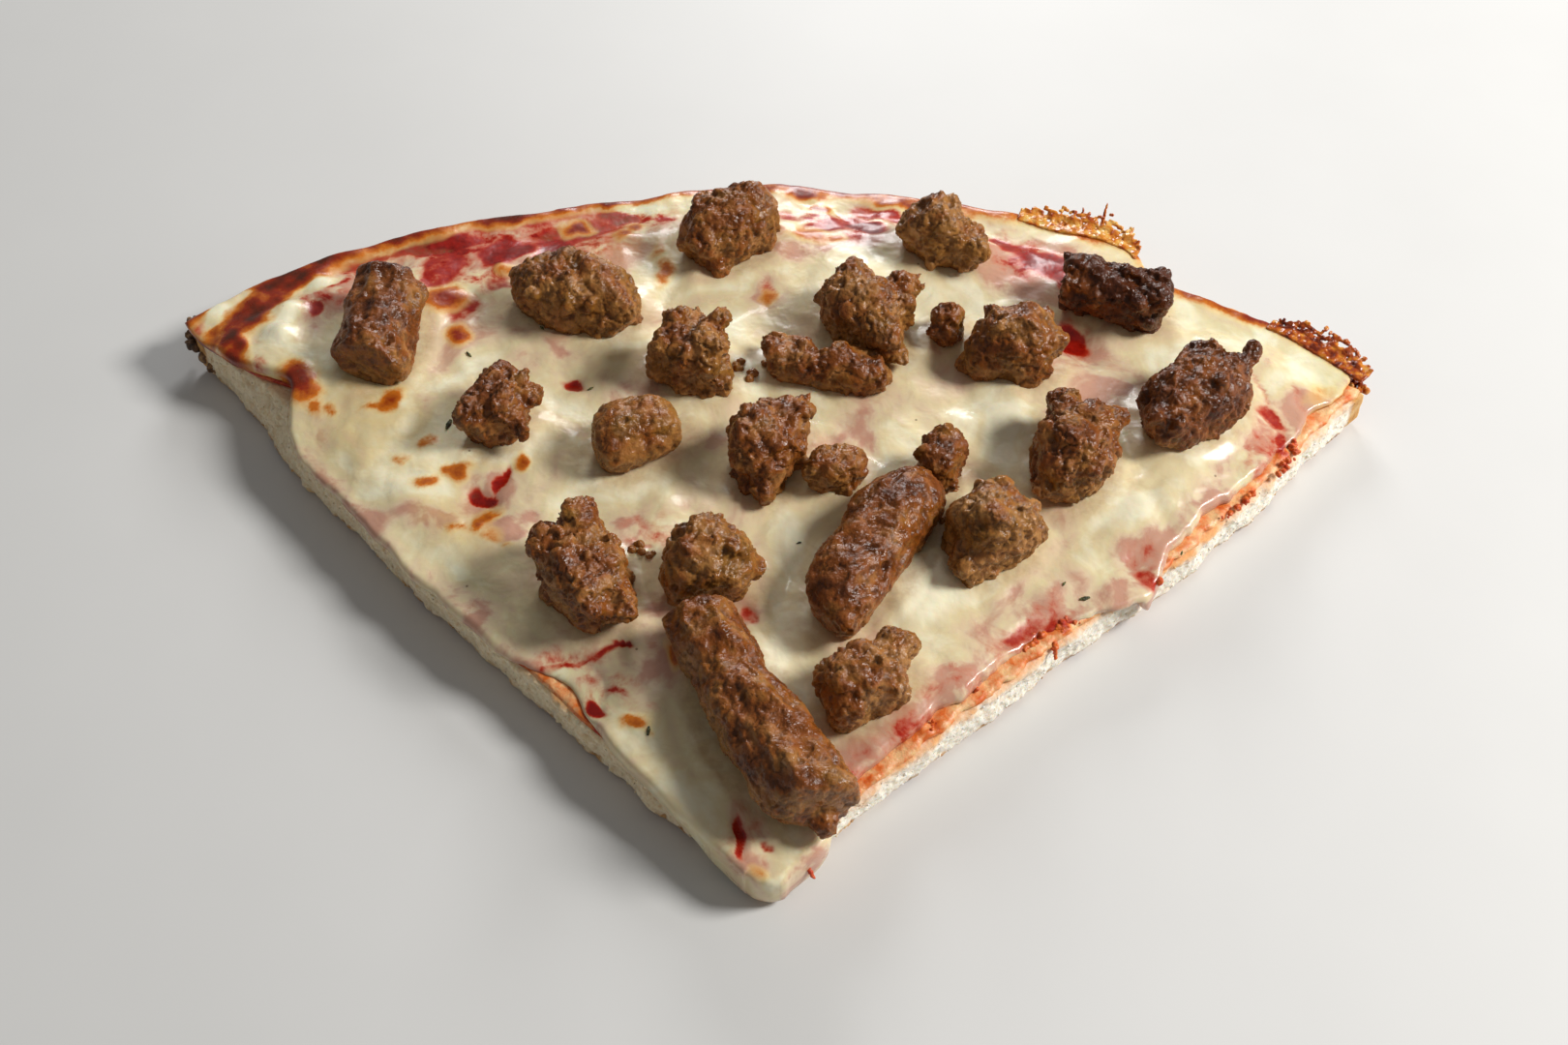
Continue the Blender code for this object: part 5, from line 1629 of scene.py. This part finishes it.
# Dried herb flecks: x, y, radius
fleckPlaces = (
    (-70, 12.5, 1.1), (64, -33, 0.9), (-23, -65, 0.8), (-68, 34, 0.7), (60, -30, 0.5), (-40, 24, 0.6),
    (85, -22, 0.5), (20, 60, 0.5), (-82, 30, 0.6), (6, -20, 0.5), (-52, 41, 0.6), (98, 20, 0.5),
)


def buildFlecks():
    blobs = []
    for x, y, radius in fleckPlaces:
        turn = rng.uniform(0.0, math.pi)
        for along in np.linspace(-1.0, 1.0, 5):
            spotX, spotY = x + along * radius * math.cos(turn), y + along * radius * math.sin(turn)
            blobs.append((spotX, spotY, onCheese(spotX, spotY, 0.15), radius * (0.5 - 0.2 * abs(along))))
    values = {"Voxel": 0.14 * mm, "Rough size": 0.6, "Rough depth": 0.12 * mm, "Tone": 0.5, "Field": "depth"}
    return makeBlobs("herbFlecks", blobs, fleckMaterial, values)


def buildCrumbs():
    # Loose crumb standing out of the cut sides
    crumbs = dough.copy()
    crumbs.data = dough.data.copy()
    crumbs.name = "looseCrumb"
    bpy.context.scene.collection.objects.link(crumbs)
    values = {
        "Spacing": 2.1 * mm, "Smallest": 0.12 * mm, "Largest": 0.34 * mm, "Seed": 5, "Area": "crumbSide",
        "Material": doughMaterial,
    }
    addTree(crumbs, scatteredGrains, values)
    return settle(crumbs)


lace = buildLace()
sauceLumpsPiece = buildSauceLumps()
nib = buildNib()
scraps = buildScraps()
flecks = buildFlecks()
crumbs = buildCrumbs()
print(
    "trimmings built",
    [len(piece.data.polygons) for piece in (*lace, sauceLumpsPiece, nib, scraps, flecks, crumbs)],
)

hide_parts("dough_base")
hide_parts("tomato_sauce")
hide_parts("melted_cheese")
for piece, slotName in ((dough, "baked_dough"), (sauce, "tomato_sauce"), (cheese, "melted_cheese")):
    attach(piece, "root")
for piece, slotName in (
    (lace[0], "melted_cheese"), (lace[1], "melted_cheese"), (sauceLumpsPiece, "tomato_sauce"),
    (nib, "baked_dough"), (scraps, "browned_sausage"), (flecks, "melted_cheese"), (crumbs, "baked_dough"),
):
    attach(piece, "root")
for piece, node in zip(sausages, sausageNodes):
    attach(piece, "root")
    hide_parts(node)

# Floor, light and camera
stage = {
    "floor": (0.74, 0.74, 0.73), "world": (1.0, 0.985, 0.96), "worldLight": 0.17,
    "keyPlace": (0.80, 0.00, 0.68), "keySize": 0.32, "keyLight": 10.9, "backPlace": (0.06, 0.76, 0.38),
    "backSize": 0.28, "backLight": 2.9, "floorHalf": 3.0, "floorLevel": -0.0002, "floorRoughness": 0.55,
    "cameraPlace": (4.22, -249.68, 310.71), "cameraTilt": (38.43, 0.24, 0.0), "lens": 41.66,
}


def makeFloor():
    data = bpy.data.meshes.new("floor")
    half = stage["floorHalf"]
    corners = [(-half, -half, 0.0), (half, -half, 0.0), (half, half, 0.0), (-half, half, 0.0)]
    data.from_pydata(corners, [], [(0, 1, 2, 3)])
    material, tree, shader, places = newMaterial("paleFloor")
    shaded = tuple(0.97 * part for part in stage["floor"])
    tone = rampNode(tree, noiseNode(tree, places, 60.0, 3.0), ((0.3, shaded), (0.7, stage["floor"])))
    setInputs(tree, shader, {"Base Color": tone, "Roughness": stage["floorRoughness"]})
    data.materials.append(material)
    floor = bpy.data.objects.new("floor", data)
    floor.location.z = stage["floorLevel"]
    bpy.context.scene.collection.objects.link(floor)
    return floor


def makeLight(name, place, size, power, colour):
    light = bpy.data.lights.new(name, "AREA")
    light.shape = "DISK"
    light.size = size
    light.energy = power
    light.color = colour
    lamp = bpy.data.objects.new(name, light)
    lamp.location = place
    lamp.rotation_euler = (-Vector(place)).to_track_quat("-Z", "Y").to_euler()
    bpy.context.scene.collection.objects.link(lamp)


makeFloor()
makeLight("keyLight", stage["keyPlace"], stage["keySize"], stage["keyLight"], (1.0, 0.98, 0.95))
makeLight("backLight", stage["backPlace"], stage["backSize"], stage["backLight"], (1.0, 1.0, 1.0))

world = bpy.data.worlds.new("studio")
world.use_nodes = True
world.node_tree.nodes["Background"].inputs["Color"].default_value = (*stage["world"], 1.0)
world.node_tree.nodes["Background"].inputs["Strength"].default_value = stage["worldLight"]
bpy.context.scene.world = world

cameraData = bpy.data.cameras.new("camera")
cameraData.lens = stage["lens"]
cameraData.sensor_width = 36.0
cameraData.clip_start = 0.01
camera = bpy.data.objects.new("camera", cameraData)
camera.location = Vector(stage["cameraPlace"]) * mm
camera.rotation_euler = [math.radians(value) for value in stage["cameraTilt"]]
bpy.context.scene.collection.objects.link(camera)
bpy.context.scene.camera = camera
bpy.context.scene.view_settings.view_transform = "Standard"
print("stage set")
